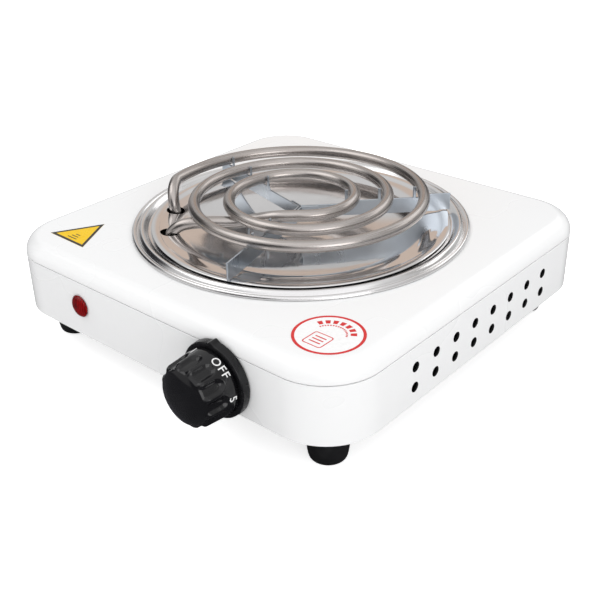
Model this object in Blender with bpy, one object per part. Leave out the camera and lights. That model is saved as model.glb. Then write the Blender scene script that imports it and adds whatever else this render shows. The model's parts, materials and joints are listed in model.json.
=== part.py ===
"""Single-burner electric hot plate: sheet-steel housing, spiral heating tube over a chrome drip pan,
thermostat with a front knob, neon lamp, mains terminals and four rubber feet.

Metres, +Z up, front towards -Y. The feet stand on z = 0, and the overall box is centred on the Z axis.
"""

import math

import bmesh
import bpy
from mathutils import Matrix, Vector

# Overall layout
GAP = 0.0003
FOOT_HEIGHT = 0.0200
WIDTH = 0.2280
DEPTH = 0.2230
CORNER = 0.0296
WALL_HEIGHT = 0.0305
SHOULDER_IN = 0.0084
SHOULDER_UP = 0.0086
SHEET = 0.0010
SEAM = 0.0004
KNOB_REACH = 0.0256
GLAND_REACH = 0.0036

BODY_Y = (KNOB_REACH - GLAND_REACH) / 2
FRONT = BODY_Y - DEPTH / 2
REAR = BODY_Y + DEPTH / 2
BASE = FOOT_HEIGHT
TOP = BASE + WALL_HEIGHT + SEAM + SHOULDER_UP

# Side wall
LIP_WIDTH = 0.0090
LIP_UP = 0.0015
VENT_COLUMNS = 8
VENT_PITCH = 0.0165
VENT_SHIFT = 0.0026
VENT_HEIGHTS = (0.0092, 0.0199)
VENT_RADIUS = 0.0026

# Hob
HOB_HOLE = 0.0774
RING_OUTER = 0.0902
PAN_LIP = 0.0800
PAN_LIP_TOP = TOP + 0.0020
PAN_SHEET = 0.0006
PAN_BOTTOM = TOP - 0.0072
PAN_FLAT = 0.0160

# Heating tube: a clockwise spiral seen from above, from the rim inwards
TUBE_RADIUS = 0.0031
TUBE_CENTRE = BASE + 0.0534
SPIRAL_START = math.radians(221.3)
SPIRAL_RADIUS = 0.0744
SPIRAL_PITCH = 0.0184
SPIRAL_CURL = 0.00057
TURNS = 2.75
LEG_BEND = 0.0134
OUTER_LEG_ANGLE = math.radians(209)
INNER_LEG_ANGLE = math.radians(232.5)
LEG_REACH = 0.0705
LEG_HOLE = 0.0050
LEG_END = BASE + 0.0200

# Support arms
ARM_ANGLES = (45, 165, 285)
ARM_SHEET = 0.0009
ARM_BOTTOM = BASE + 0.0412
ARM_TOP = TUBE_CENTRE - TUBE_RADIUS - 0.0004
ARM_REACH = 0.0812
ARM_REST = 0.0757
ARM_FOLD = 0.0090

# Controls on the front wall
KNOB_X = 0.0480
KNOB_Z = BASE + 0.0164
BEZEL_RADIUS = 0.0189
BEZEL_DEPTH = 0.0050
KNOB_RADIUS = 0.0166
FLUTES = 12
SHAFT_RADIUS = 0.0030
LAMP_X = -0.0510
LAMP_Z = BASE + 0.0176
LENS_RADIUS = 0.0059
LENS_REACH = 0.0026

# Rear wall and feet
GLAND_X = -0.0700
GLAND_Z = BASE + 0.0150
FOOT_X = 0.0910
FOOT_Y = 0.0885
FOOT_RADIUS = 0.0110


def clear_scene():
    for old in list(bpy.data.objects):
        bpy.data.objects.remove(old, do_unlink=True)


def finish(name, colour, roughness, metallic=0.0):
    mat = bpy.data.materials.new(name)
    mat.use_nodes = True
    shader = mat.node_tree.nodes["Principled BSDF"]
    shader.inputs["Base Color"].default_value = (*colour, 1.0)
    shader.inputs["Roughness"].default_value = roughness
    shader.inputs["Metallic"].default_value = metallic
    mat.diffuse_color = (*colour, 1.0)
    return mat


def solid(name, points, faces, mat, smooth_angle=35):
    """A mesh object from points and faces, with its faces turned outwards."""
    mesh = bpy.data.meshes.new(name)
    mesh.from_pydata([tuple(point) for point in points], [], faces)
    work = bmesh.new()
    work.from_mesh(mesh)
    bmesh.ops.recalc_face_normals(work, faces=work.faces)
    work.to_mesh(mesh)
    work.free()
    mesh.shade_smooth()
    mesh.set_sharp_from_angle(angle=math.radians(smooth_angle))
    mesh.materials.append(mat)
    obj = bpy.data.objects.new(name, mesh)
    bpy.context.scene.collection.objects.link(obj)
    return obj


def helper(obj):
    obj.hide_render = True
    obj.display_type = "WIRE"
    return obj


def cut(obj, cutters):
    for cutter in cutters:
        boolean = obj.modifiers.new("cut_" + cutter.name, "BOOLEAN")
        boolean.operation = "DIFFERENCE"
        boolean.object = helper(cutter)
    return obj


def loft(rings, closed_section=True):
    """Quads between rings of equal length. A closed section makes a tube-like shell, an open one gets end caps."""
    count = len(rings[0])
    points = [point for ring in rings for point in ring]
    faces = []
    last = len(rings) if closed_section else len(rings) - 1
    for i in range(last):
        a, b = i * count, ((i + 1) % len(rings)) * count
        for j in range(count):
            k = (j + 1) % count
            faces.append((a + j, a + k, b + k, b + j))
    if not closed_section:
        faces.append(tuple(range(count)))
        faces.append(tuple(range((len(rings) - 1) * count, len(rings) * count)))
    return points, faces


def circle(radius, z, steps, centre=(0.0, 0.0)):
    turns = [2 * math.pi * i / steps for i in range(steps)]
    return [(centre[0] + radius * math.cos(t), centre[1] + radius * math.sin(t), z) for t in turns]


def turned(name, profile, mat, steps=24, smooth_angle=35):
    """A turned piece with a bore: the profile (radius, z) is a closed outline clear of the axis."""
    return solid(name, *loft([circle(r, z, steps) for r, z in profile]), mat, smooth_angle)


def capped(name, profile, mat, steps=24, smooth_angle=35):
    """A turned piece with flat ends: the profile (radius, z) runs from one end to the other."""
    rings = [circle(r, z, steps) for r, z in profile]
    return solid(name, *loft(rings, closed_section=False), mat, smooth_angle)


def prism(name, outline, low, high, mat):
    """A straight extrusion of a plan outline between two heights."""
    rings = [[(x, y, z) for x, y in outline] for z in (low, high)]
    return solid(name, *loft(rings, closed_section=False), mat)


def block(name, low, high, mat):
    corners = [(low[0], low[1]), (high[0], low[1]), (high[0], high[1]), (low[0], high[1])]
    return prism(name, corners, low[2], high[2], mat)


def rounded_rectangle(inset, z, corner_steps=6, side_steps=6):
    """The housing's plan outline, moved inwards by the inset, at one height."""
    half_x, half_y, radius = WIDTH / 2 - inset, DEPTH / 2 - inset, CORNER - inset
    points = []
    corners = ((1, 1, 0), (-1, 1, 90), (-1, -1, 180), (1, -1, 270))
    for sx, sy, start in corners:
        cx, cy = sx * (half_x - radius), sy * (half_y - radius)
        for i in range(corner_steps + 1):
            turn = math.radians(start + 90 * i / corner_steps)
            points.append(Vector((cx + radius * math.cos(turn), cy + radius * math.sin(turn), z)))
    ring = []
    for i, point in enumerate(points):
        ring.append(point)
        if i % (corner_steps + 1) == corner_steps:
            following = points[(i + 1) % len(points)]
            ring += [point.lerp(following, k / side_steps) for k in range(1, side_steps)]
    return [(point.x, point.y + BODY_Y, point.z) for point in ring]


def hole_ring(radius, z):
    """A round opening about the hob's centre, with one point for each point of the housing's outline."""
    ring = []
    for x, y, _ in rounded_rectangle(0, z):
        turn = math.atan2(y - BODY_Y, x)
        ring.append((radius * math.cos(turn), BODY_Y + radius * math.sin(turn), z))
    return ring


def sweep(name, path, radius, sides, mat):
    """A round bar along a path, capped at both ends, with a flat of its outline kept level where it can be."""
    points = [Vector(p) for p in path]
    count = len(points)
    normal = Vector((0, 0, 1))
    first = (points[1] - points[0]).normalized()
    if abs(first.z) > 0.9:
        normal = Vector((first.z, 0, 0)).cross(first)
    rings = []
    for i, point in enumerate(points):
        tangent = (points[min(i + 1, count - 1)] - points[max(i - 1, 0)]).normalized()
        normal = (normal - tangent * normal.dot(tangent)).normalized()
        if abs(tangent.z) < 0.5:
            level = Vector((0, 0, 1)) - tangent * tangent.z
            normal = (normal * 0.5 + level.normalized() * 0.5).normalized() if normal.dot(level) > 0 else normal
        side = tangent.cross(normal)
        turns = [2 * math.pi * (k + 0.5) / sides for k in range(sides)]
        rings.append([point + radius * (math.cos(t) * normal + math.sin(t) * side) for t in turns])
    return solid(name, *loft(rings, closed_section=False), mat, 50)


def smooth_path(knots, per_span=4):
    """A Catmull-Rom curve through the knots."""
    knots = [Vector(k) for k in knots]
    padded = [2 * knots[0] - knots[1]] + knots + [2 * knots[-1] - knots[-2]]
    path = []
    for i in range(1, len(padded) - 2):
        a, b, c, d = padded[i - 1 : i + 3]
        for k in range(per_span):
            t = k / per_span
            path.append(
                0.5 * (2 * b + (c - a) * t + (2 * a - 5 * b + 4 * c - d) * t**2 + (3 * b - a - 3 * c + d) * t**3)
            )
    path.append(knots[-1])
    return path


def facing(name, location, direction):
    """An empty whose local +Z points out of the front wall (-1) or the rear wall (+1)."""
    empty = bpy.data.objects.new(name, None)
    empty.location = location
    empty.rotation_euler = (math.radians(-90 * direction), 0, 0)
    bpy.context.scene.collection.objects.link(empty)
    return empty


def attach(parent, *pieces):
    for piece in pieces:
        piece.parent = parent


def cutting_cylinder(name, radius, centre, axis, length, steps=8):
    """A closed cylinder about a centre, along X, Y or Z."""
    obj = capped(name, [(radius, -length / 2), (radius, length / 2)], CUTTER, steps)
    turn = {"X": Matrix.Rotation(math.pi / 2, 4, "Y"), "Y": Matrix.Rotation(math.pi / 2, 4, "X")}
    obj.data.transform(Matrix.Translation(centre) @ turn.get(axis, Matrix.Identity(4)))
    return obj


def joined_cutters(name, cutters):
    """Several separate cutters as one mesh, so that one Boolean takes them all."""
    work = bmesh.new()
    for cutter in cutters:
        work.from_mesh(cutter.data)
        bpy.data.objects.remove(cutter, do_unlink=True)
    mesh = bpy.data.meshes.new(name)
    work.to_mesh(mesh)
    work.free()
    obj = bpy.data.objects.new(name, mesh)
    bpy.context.scene.collection.objects.link(obj)
    return obj


def base_screw_places():
    reach_x, reach_y = WIDTH / 2 - SHEET - 0.0055, DEPTH / 2 - SHEET - 0.0055
    return ((0, -reach_y), (reach_x, 0), (0, reach_y), (-reach_x, 0))


def foot_places():
    return ((FOOT_X, -FOOT_Y), (FOOT_X, FOOT_Y), (-FOOT_X, FOOT_Y), (-FOOT_X, -FOOT_Y))


def shoulder(inset, lift, steps=4):
    """Heights and insets up the cover's rounded shoulder, offset inwards by a sheet thickness."""
    rings = []
    for i in range(steps + 1):
        turn = math.pi / 2 * i / steps
        across = SHOULDER_IN - (SHOULDER_IN - inset) * math.cos(turn)
        up = (SHOULDER_UP - lift) * math.sin(turn)
        rings.append((across, BASE + WALL_HEIGHT + SEAM + up))
    return rings


def top_cover():
    tongue_out, tongue_in = SHEET + 0.0004, SHEET + 0.0014
    tongue_low = BASE + WALL_HEIGHT - 0.0035
    seam = BASE + WALL_HEIGHT + SEAM
    rings = [rounded_rectangle(a, z) for a, z in shoulder(0, 0)]
    rings.append(hole_ring(HOB_HOLE, TOP))
    rings.append(hole_ring(HOB_HOLE, TOP - SHEET))
    rings += [rounded_rectangle(a, z) for a, z in reversed(shoulder(tongue_in, SHEET))]
    section = ((tongue_in, tongue_low), (tongue_out, tongue_low), (tongue_out, seam))
    rings += [rounded_rectangle(a, z) for a, z in section]
    return solid("top_cover", *loft(rings), WHITE_PAINT, 25)


def side_wall():
    lip = LIP_WIDTH + SHEET
    section = (
        (0, BASE),
        (0, BASE + WALL_HEIGHT),
        (SHEET, BASE + WALL_HEIGHT),
        (SHEET, BASE + LIP_UP + SHEET),
        (lip, BASE + LIP_UP + SHEET),
        (lip, BASE + LIP_UP),
        (SHEET, BASE + LIP_UP),
        (SHEET, BASE),
    )
    wall = solid("side_wall", *loft([rounded_rectangle(a, z) for a, z in section]), WHITE_PAINT, 25)
    cutters = []
    for side in (1, -1):
        for column in range(VENT_COLUMNS):
            along = BODY_Y + VENT_SHIFT + (column - (VENT_COLUMNS - 1) / 2) * VENT_PITCH
            for height in VENT_HEIGHTS:
                centre = (side * WIDTH / 2, along, BASE + height)
                cutters.append(cutting_cylinder("vent", VENT_RADIUS, centre, "X", 0.006))
    cutters.append(cutting_cylinder("bush_hole", 0.0053, (KNOB_X, FRONT, KNOB_Z), "Y", 0.006, 16))
    cutters.append(cutting_cylinder("lamp_hole", 0.0053, (LAMP_X, FRONT, LAMP_Z), "Y", 0.006, 16))
    cutters.append(cutting_cylinder("gland_hole", 0.0063, (GLAND_X, REAR, GLAND_Z), "Y", 0.006, 16))
    for x, y in base_screw_places():
        cutters.append(cutting_cylinder("screw_hole", 0.0018, (x, BODY_Y + y, BASE + LIP_UP), "Z", 0.006))
    return cut(wall, [joined_cutters("wall_cutters", cutters)])


def capsule(length, width, x, y, steps=3):
    """A plan outline of a slot with round ends, its length along X."""
    points = []
    for sign in (1, -1):
        for i in range(steps + 1):
            turn = math.radians(180 * i / steps - 90 * sign)
            centre = x + sign * (length - width) / 2
            points.append((centre + width / 2 * math.cos(turn), y + width / 2 * math.sin(turn)))
    return points


def bottom_plate():
    inset = SHEET + 0.0004
    low, high = BASE + 0.0002, BASE + 0.0012
    rings = [rounded_rectangle(inset, low, 4, 1), rounded_rectangle(inset, high, 4, 1)]
    plate = solid("bottom_plate", *loft(rings, closed_section=False), ZINC)
    cutters = []
    for row in range(6):
        for side in (-1, 1):
            outline = capsule(0.034, 0.004, side * 0.024, BODY_Y + (row - 2.5) * 0.011)
            cutters.append(prism("slot", outline, low - 0.002, high + 0.002, CUTTER))
    for x, y in base_screw_places():
        cutters.append(cutting_cylinder("screw_hole", 0.0018, (x, BODY_Y + y, BASE), "Z", 0.008))
    for x, y in foot_places():
        cutters.append(cutting_cylinder("foot_hole", 0.0024, (x, BODY_Y + y, BASE), "Z", 0.008))
    return cut(plate, [joined_cutters("plate_cutters", cutters)])


def feet():
    bore, counterbore = 0.0024, 0.0046
    shelf, low_edge = -0.0090, -FOOT_HEIGHT
    profile = (
        (bore, -0.0001),
        (FOOT_RADIUS, -0.0001),
        (FOOT_RADIUS, -0.0030),
        (0.0101, -0.0110),
        (0.0093, -0.0172),
        (0.0076, low_edge),
        (counterbore, low_edge),
        (counterbore, shelf),
        (bore, shelf),
    )
    for label, (x, y) in zip(("front_right", "rear_right", "rear_left", "front_left"), foot_places()):
        place = (x, BODY_Y + y, BASE)
        foot = turned("foot_" + label, profile, RUBBER, 16)
        foot.location = place
        head_low, head_high = shelf - GAP - 0.0022, shelf - GAP
        screw = capped(
            "foot_screw_" + label,
            [(0.0030, head_low), (0.0038, head_low + 0.0007), (0.0038, head_high), (0.0019, head_high), (0.0019, 0.0062)],
            STEEL,
            12,
        )
        screw.location = place
        nut = hexagon_nut("foot_nut_" + label, 0.0035, 0.0022, 0.0015, 0.0041)
        nut.location = place


def hexagon_nut(name, across, bore, low, high, mat=None):
    """A six-sided nut: half its width across flats, and its bore's radius."""
    corner = across / math.cos(math.pi / 6)
    steps = 12
    outer = []
    for i in range(steps):
        turn = 2 * math.pi * i / steps
        reach = corner if i % 2 == 0 else across
        outer.append((reach * math.cos(turn), reach * math.sin(turn)))
    rings = [
        [(x, y, low) for x, y in outer],
        [(x, y, high) for x, y in outer],
        circle(bore, high, steps),
        circle(bore, low, steps),
    ]
    return solid(name, *loft(rings), mat or STEEL)


def base_screws():
    for label, (x, y) in zip(("front", "right", "rear", "left"), base_screw_places()):
        profile = [(0.0022, -0.0021), (0.0030, -0.0014), (0.0030, -0.0001), (0.0014, -0.0001), (0.0014, 0.0060)]
        screw = capped("base_screw_" + label, profile, STEEL, 10)
        screw.location = (x, BODY_Y + y, BASE)


def trim_ring():
    under = TOP + GAP
    section = (
        (RING_OUTER, under),
        (RING_OUTER - 0.0002, TOP + 0.0011),
        (RING_OUTER - 0.0011, TOP + 0.0019),
        (RING_OUTER - 0.0022, TOP + 0.0016),
        (RING_OUTER - 0.0031, TOP + 0.0010),
        (RING_OUTER - 0.0040, TOP + 0.0021),
        (RING_OUTER - 0.0049, TOP + 0.0028),
        (RING_OUTER - 0.0058, TOP + 0.0029),
        (RING_OUTER - 0.0067, TOP + 0.0025),
        (RING_OUTER - 0.0081, TOP + 0.0015),
        (RING_OUTER - 0.0094, TOP + 0.0007),
        (HOB_HOLE + 0.0002, TOP + 0.0007),
        (HOB_HOLE + 0.0002, under),
    )
    ring = turned("trim_ring", section, CHROME, 40, 50)
    ring.location = (0, BODY_Y, 0)


def pan_profile():
    """The drip pan's upper surface: a flat flange, a crease, then the shallow bowl in to the centre."""
    lip = [
        (PAN_LIP, TOP + 0.0016),
        (PAN_LIP - 0.0003, PAN_LIP_TOP - 0.0001),
        (PAN_LIP - 0.0010, PAN_LIP_TOP),
        (PAN_LIP - 0.0036, PAN_LIP_TOP - 0.0001),
        (PAN_LIP - 0.0047, TOP + 0.0016),
        (PAN_LIP - 0.0058, TOP + 0.0011),
    ]
    rim_radius, rim_height = lip[-1]
    bowl = []
    for share in (0.80, 0.58, 0.36):
        bowl.append((rim_radius * share, PAN_BOTTOM + (rim_height - PAN_BOTTOM) * share**2))
    return lip + bowl + [(PAN_FLAT, PAN_BOTTOM)]


def under_side(profile, thickness):
    """The same profile, run from its outer end inwards, moved square to itself to the sheet's other face."""
    ends = [Vector(point) for point in profile]
    normals = [Vector((start.y - end.y, end.x - start.x)).normalized() for start, end in zip(ends, ends[1:])]
    moved = []
    for i, point in enumerate(ends):
        beside = normals[max(i - 1, 0)] + normals[min(i, len(normals) - 1)]
        moved.append(tuple(point + thickness * beside.normalized()))
    return moved


def drip_pan():
    upper = pan_profile()
    pan = capped("drip_pan", upper[::-1] + under_side(upper, PAN_SHEET), CHROME, 40, 50)
    pan.location = (0, BODY_Y, 0)
    holes = []
    for angle in (OUTER_LEG_ANGLE, INNER_LEG_ANGLE):
        centre = (LEG_REACH * math.cos(angle), LEG_REACH * math.sin(angle), TOP - 0.001)
        holes.append(cutting_cylinder("leg_hole", LEG_HOLE, centre, "Z", 0.008, 20))
    cutter = joined_cutters("pan_cutters", holes)
    cutter.location = pan.location
    return cut(pan, [cutter])


def spiral_radius(turn):
    return SPIRAL_RADIUS - SPIRAL_PITCH * turn + SPIRAL_CURL * (turn - 1.5) ** 2


def spiral_point(turn, height=TUBE_CENTRE):
    angle = SPIRAL_START - 2 * math.pi * turn
    radius = spiral_radius(turn)
    return Vector((radius * math.cos(angle), BODY_Y + radius * math.sin(angle), height))


def leg_point(angle, height, reach=LEG_REACH):
    return Vector((reach * math.cos(angle), BODY_Y + reach * math.sin(angle), height))


def outer_leg():
    """Up out of the pan, then a quarter bend into the spiral's first turn."""
    path = [leg_point(OUTER_LEG_ANGLE, LEG_END), leg_point(OUTER_LEG_ANGLE, TUBE_CENTRE - LEG_BEND)]
    steps = 6
    for i in range(1, steps + 1):
        turn = math.pi / 2 * i / steps
        angle = OUTER_LEG_ANGLE - LEG_BEND * (1 - math.cos(turn)) / LEG_REACH
        rise = LEG_BEND * (1 - math.sin(turn))
        start = (SPIRAL_START - angle) / (2 * math.pi)
        reach = LEG_REACH + (spiral_radius(start) - LEG_REACH) * i / steps
        path.append(leg_point(angle, TUBE_CENTRE - rise, reach))
    return path, start


def inner_leg():
    """From the innermost turn, down under the outer turns and along to the second hole in the pan."""
    knots = [
        spiral_point(TURNS),
        (0.0050, BODY_Y - 0.0260, TUBE_CENTRE - 0.0011),
        (-0.0060, BODY_Y - 0.0295, TUBE_CENTRE - 0.0044),
        (-0.0150, BODY_Y - 0.0338, TUBE_CENTRE - 0.0069),
        (-0.0255, BODY_Y - 0.0420, TUBE_CENTRE - 0.0071),
        (-0.0330, BODY_Y - 0.0483, TUBE_CENTRE - 0.0074),
        (-0.0385, BODY_Y - 0.0528, TUBE_CENTRE - 0.0092),
        leg_point(INNER_LEG_ANGLE, TUBE_CENTRE - 0.0140, LEG_REACH - 0.0006),
        leg_point(INNER_LEG_ANGLE, TUBE_CENTRE - 0.0205),
        leg_point(INNER_LEG_ANGLE, LEG_END),
    ]
    return smooth_path(knots, 3)[1:]


def heating_coil():
    path, start = outer_leg()
    steps = 76
    path += [spiral_point(start + (TURNS - start) * i / steps) for i in range(1, steps + 1)]
    path += inner_leg()
    sweep("heating_coil", path, TUBE_RADIUS, 8, NICKEL)


def coil_terminals():
    """Each leg's ceramic bush and connecting pin, and the plate under the pan that holds both legs."""
    for label, angle in (("outer", OUTER_LEG_ANGLE), ("inner", INNER_LEG_ANGLE)):
        foot = leg_point(angle, LEG_END)
        bush_high, bush_low = -GAP, -0.0040
        bush = turned(
            "terminal_bush_" + label,
            [(0.0030, bush_high), (0.0014, bush_high), (0.0014, bush_low), (0.0024, bush_low)],
            CERAMIC,
            12,
        )
        bush.location = foot
        pin = capped("terminal_pin_" + label, [(0.0010, -0.0100), (0.0010, -GAP)], STEEL, 8)
        pin.location = foot
    first, second = leg_point(OUTER_LEG_ANGLE, 0), leg_point(INNER_LEG_ANGLE, 0)
    middle, along = (first + second) / 2, (second - first).normalized()
    across = Vector((-along.y, along.x, 0))
    plan = []
    for sign, spread in ((1, 1), (1, -1), (-1, -1), (-1, 1)):
        corner = middle + along * (sign * 0.0210) + across * (spread * 0.0075)
        plan.append((corner.x, corner.y))
    bracket = prism("coil_bracket", plan, BASE + 0.0242, BASE + 0.0254, ZINC)
    holes = [
        cutting_cylinder("bracket_hole", TUBE_RADIUS + GAP, (leg.x, leg.y, BASE + 0.025), "Z", 0.006, 16)
        for leg in (first, second)
    ]
    cut(bracket, [joined_cutters("bracket_cutters", holes)])


def arm_top_edge(angle):
    """(along, height) down the arm's upper edge from its tip: level under each turn, with a hook beside it."""
    clear = TUBE_RADIUS + 0.0004
    hook_width, hook_top = 0.0017, TUBE_CENTRE + 0.0026
    tip_top = ARM_TOP + 0.0016
    start = (SPIRAL_START - math.radians(angle)) / (2 * math.pi) % 1.0
    crossings = [spiral_radius(start + k) for k in range(3) if start + k < TURNS]
    edge = [(ARM_REACH, tip_top), (crossings[0] + clear, tip_top), (crossings[0] + clear, ARM_TOP)]
    for radius in crossings:
        inner = radius - clear
        edge += [(inner, ARM_TOP), (inner, hook_top), (inner - hook_width, hook_top), (inner - hook_width, ARM_TOP)]
    return edge, crossings[-1] - clear - hook_width


def support_arm(name, angle):
    """A folded sheet: a long plate under the turns, and a short flange lying along the next arm's root."""
    near, far = GAP, GAP + ARM_SHEET
    fold = math.radians(120)
    low_top = ARM_TOP - 0.0016
    edge, last = arm_top_edge(angle)
    rest = PAN_LIP_TOP + GAP
    outline = [(0.0, ARM_BOTTOM), (ARM_REST - 0.0012, ARM_BOTTOM), (ARM_REST, rest), (ARM_REACH, rest)]
    outline += edge + [(last - 0.0012, low_top), (0.0, low_top)]
    flange = [(-ARM_FOLD, ARM_BOTTOM), (-ARM_FOLD, low_top)]

    def placed(along, side):
        mitre = Vector(((side - 0.5 * side) / math.sin(fold), side))
        if along >= 0:
            return Vector((max(along, mitre.x), side))
        return mitre + Vector((math.cos(fold), math.sin(fold))) * -along

    turn = math.radians(angle)
    points, count = [], len(outline) + len(flange)
    for side in (near, far):
        for along, height in outline + flange[::-1]:
            flat = placed(along, side)
            flat.rotate(Matrix.Rotation(turn, 2))
            points.append((flat.x, BODY_Y + flat.y, height))
    plate = list(range(len(outline)))
    flap = [0, len(outline) - 1, len(outline), len(outline) + 1]
    faces = []
    for shift in (0, count):
        faces.append(tuple(i + shift for i in plate))
        faces.append(tuple(i + shift for i in flap))
    for i in range(count):
        k = (i + 1) % count
        faces.append((i, k, k + count, i + count))
    return solid(name, points, faces, ZINC, 20)


def knob_radius(turn, height):
    """Smooth at the skirt, then scalloped by the finger flutes towards the face."""
    fade = min(1.0, max(0.0, (height - 0.0112) / 0.0030))
    scallop = 0.5 + 0.5 * math.cos(FLUTES * turn)
    return KNOB_RADIUS - 0.0012 * (height - 0.006) / 0.016 - 0.0015 * fade * scallop**2


def control_knob():
    steps = 4 * FLUTES
    bore, bore_end = SHAFT_RADIUS + GAP, 0.0170
    rear, edge = BEZEL_DEPTH + 2 * GAP, 0.0212

    def grip(height, share=1.0):
        turns = [2 * math.pi * i / steps for i in range(steps)]
        return [
            (share * knob_radius(t, height) * math.cos(t), share * knob_radius(t, height) * math.sin(t), height)
            for t in turns
        ]

    rings = [circle(bore, bore_end, steps), circle(bore, rear, steps)]
    rings += [grip(rear), grip(0.0112), grip(0.0128), grip(0.0142), grip(edge - 0.0012), grip(edge, 0.955)]
    rings += [circle(0.0128, 0.0230, steps), circle(0.0085, 0.0246, steps), circle(0.0030, KNOB_REACH, steps)]
    return solid("control_knob", *loft(rings, closed_section=False), BLACK_GLOSS, 40)


def knob_bezel():
    """The fixed black ring behind the knob, recessed over the thermostat's nut, with its index bump on top."""
    steps = 40
    recess, bore, floor = 0.0092, 0.0052, 0.0036
    section = (
        (BEZEL_RADIUS, GAP),
        (BEZEL_RADIUS, BEZEL_DEPTH - 0.0012),
        (BEZEL_RADIUS - 0.0010, BEZEL_DEPTH),
        (bore, BEZEL_DEPTH),
        (bore, floor),
        (recess, floor),
        (recess, GAP),
    )

    def reach(radius, turn):
        offset = abs(math.degrees(turn) - 90)
        return radius + 0.0013 * max(0.0, 1 - offset / 9) if radius > 0.017 else radius

    rings = []
    for radius, height in section:
        turns = [2 * math.pi * i / steps for i in range(steps)]
        rings.append([(reach(radius, t) * math.cos(t), reach(radius, t) * math.sin(t), height) for t in turns])
    return solid("knob_bezel", *loft(rings), BLACK_PLASTIC, 40)


def shaft():
    """A round shaft with a flat for the knob at its outer end."""
    outer, flat_from, flat = 0.0158, 0.0078, 0.0020
    rod = capped("thermostat_shaft", [(SHAFT_RADIUS, -0.0105), (SHAFT_RADIUS, outer)], STEEL, 20)
    cutter = block("shaft_flat", (-0.005, flat, flat_from), (0.005, 0.006, outer + 0.002), CUTTER)
    return cut(rod, [cutter]), cutter


def thermostat(axis):
    bush_outer = 0.0047
    bush = turned(
        "thermostat_bush",
        [(bush_outer, 0.0046), (SHAFT_RADIUS + GAP, 0.0046), (SHAFT_RADIUS + GAP, -0.0080), (bush_outer, -0.0080)],
        BRASS,
        16,
    )
    nut = hexagon_nut("thermostat_nut", 0.0070, bush_outer + GAP, GAP, 0.0030, BRASS)
    plate_in, plate_out, floor, rear = -0.0026, -0.0013, -0.0100, -0.0250
    corner = ((plate_out, 0.0090), (plate_out, floor), (rear, floor), (rear, floor + 0.0012))
    corner += ((plate_in, floor + 0.0012), (plate_in, 0.0090))
    rings = [[(x, y, z) for z, y in corner] for x in (-0.0095, 0.0095)]
    frame = solid("thermostat_frame", *loft(rings, closed_section=False), ZINC)
    frame_hole = cutting_cylinder("frame_hole", bush_outer + GAP, (0, 0, plate_in), "Z", 0.006, 16)
    cut(frame, [frame_hole])
    stack_low, stack_top = floor + 0.0012 + GAP, -0.0032
    stack = block("thermostat_stack", (-0.0050, stack_low, -0.0242), (0.0050, stack_top, -0.0150), CERAMIC)
    pin = capped("thermostat_pin", [(0.0015, -0.0160), (0.0015, -0.0108)], CERAMIC, 10)
    leaf_low = stack_top + GAP
    moving = block("contact_leaf_moving", (-0.0024, leaf_low, -0.0177), (0.0024, 0.0085, -0.0173), BRASS)
    fixed = block("contact_leaf_fixed", (-0.0024, leaf_low, -0.0204), (0.0024, 0.0070, -0.0199), BRASS)
    bimetal = block("bimetal_strip", (-0.0034, leaf_low, -0.0233), (0.0034, 0.0095, -0.0226), STEEL)
    rod, rod_cutter = shaft()
    spring = block("knob_spring", (-0.0016, 0.00225, 0.0090), (0.0016, 0.00260, 0.0150), STEEL)
    knob, bezel = control_knob(), knob_bezel()
    attach(axis, bush, nut, frame, frame_hole, stack, pin, moving, fixed, bimetal, rod, rod_cutter, spring, knob, bezel)


def lamp(axis):
    rim = 0.0010
    lens_profile = [(0.0052, GAP), (LENS_RADIUS, 0.0005), (LENS_RADIUS, rim)]
    dome = LENS_REACH - rim
    lens_profile += [(LENS_RADIUS * math.cos(t), rim + dome * math.sin(t)) for t in (0.5, 0.95, 1.35)]
    lens = capped("lamp_lens", lens_profile, RED_LENS, 20)
    body = capped("lamp_body", [(0.0040, -0.0200), (0.0048, -0.0185), (0.0048, 0.0)], WHITE_PLASTIC, 16)
    clip = turned("lamp_clip", [(0.0051, -0.0013), (0.0080, -0.0013), (0.0080, -0.0020), (0.0051, -0.0020)], STEEL, 16)
    attach(axis, lens, body, clip)


def cord_gland(axis):
    """A rubber bush snapped into the rear wall, empty."""
    bore, neck, flange = 0.0036, 0.0059, 0.0085
    section = (
        (bore, GLAND_REACH),
        (0.0062, GLAND_REACH),
        (flange, 0.0018),
        (flange, GAP),
        (neck, GAP),
        (neck, -SHEET - GAP),
        (0.0075, -SHEET - GAP),
        (0.0068, -0.0050),
        (bore, -0.0050),
    )
    attach(axis, turned("cord_gland", section, RUBBER, 20))


def mains_terminals():
    floor = BASE + 0.0015
    x, y = GLAND_X, REAR - 0.0300
    block("terminal_block", (x - 0.0150, y - 0.0070, floor), (x + 0.0150, y + 0.0070, floor + 0.0110), CERAMIC)
    for label, shift in (("live", -0.0080), ("neutral", 0.0080)):
        screw = capped("terminal_screw_" + label, [(0.0022, 0.0113), (0.0026, 0.0117), (0.0026, 0.0134)], BRASS, 10)
        screw.location = (x + shift, y, floor)
    earth = capped("earth_screw", [(0.0030, 0.0), (0.0030, 0.0018), (0.0018, 0.0026)], BRASS, 10)
    earth.location = (x + 0.0340, y, floor)


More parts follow.
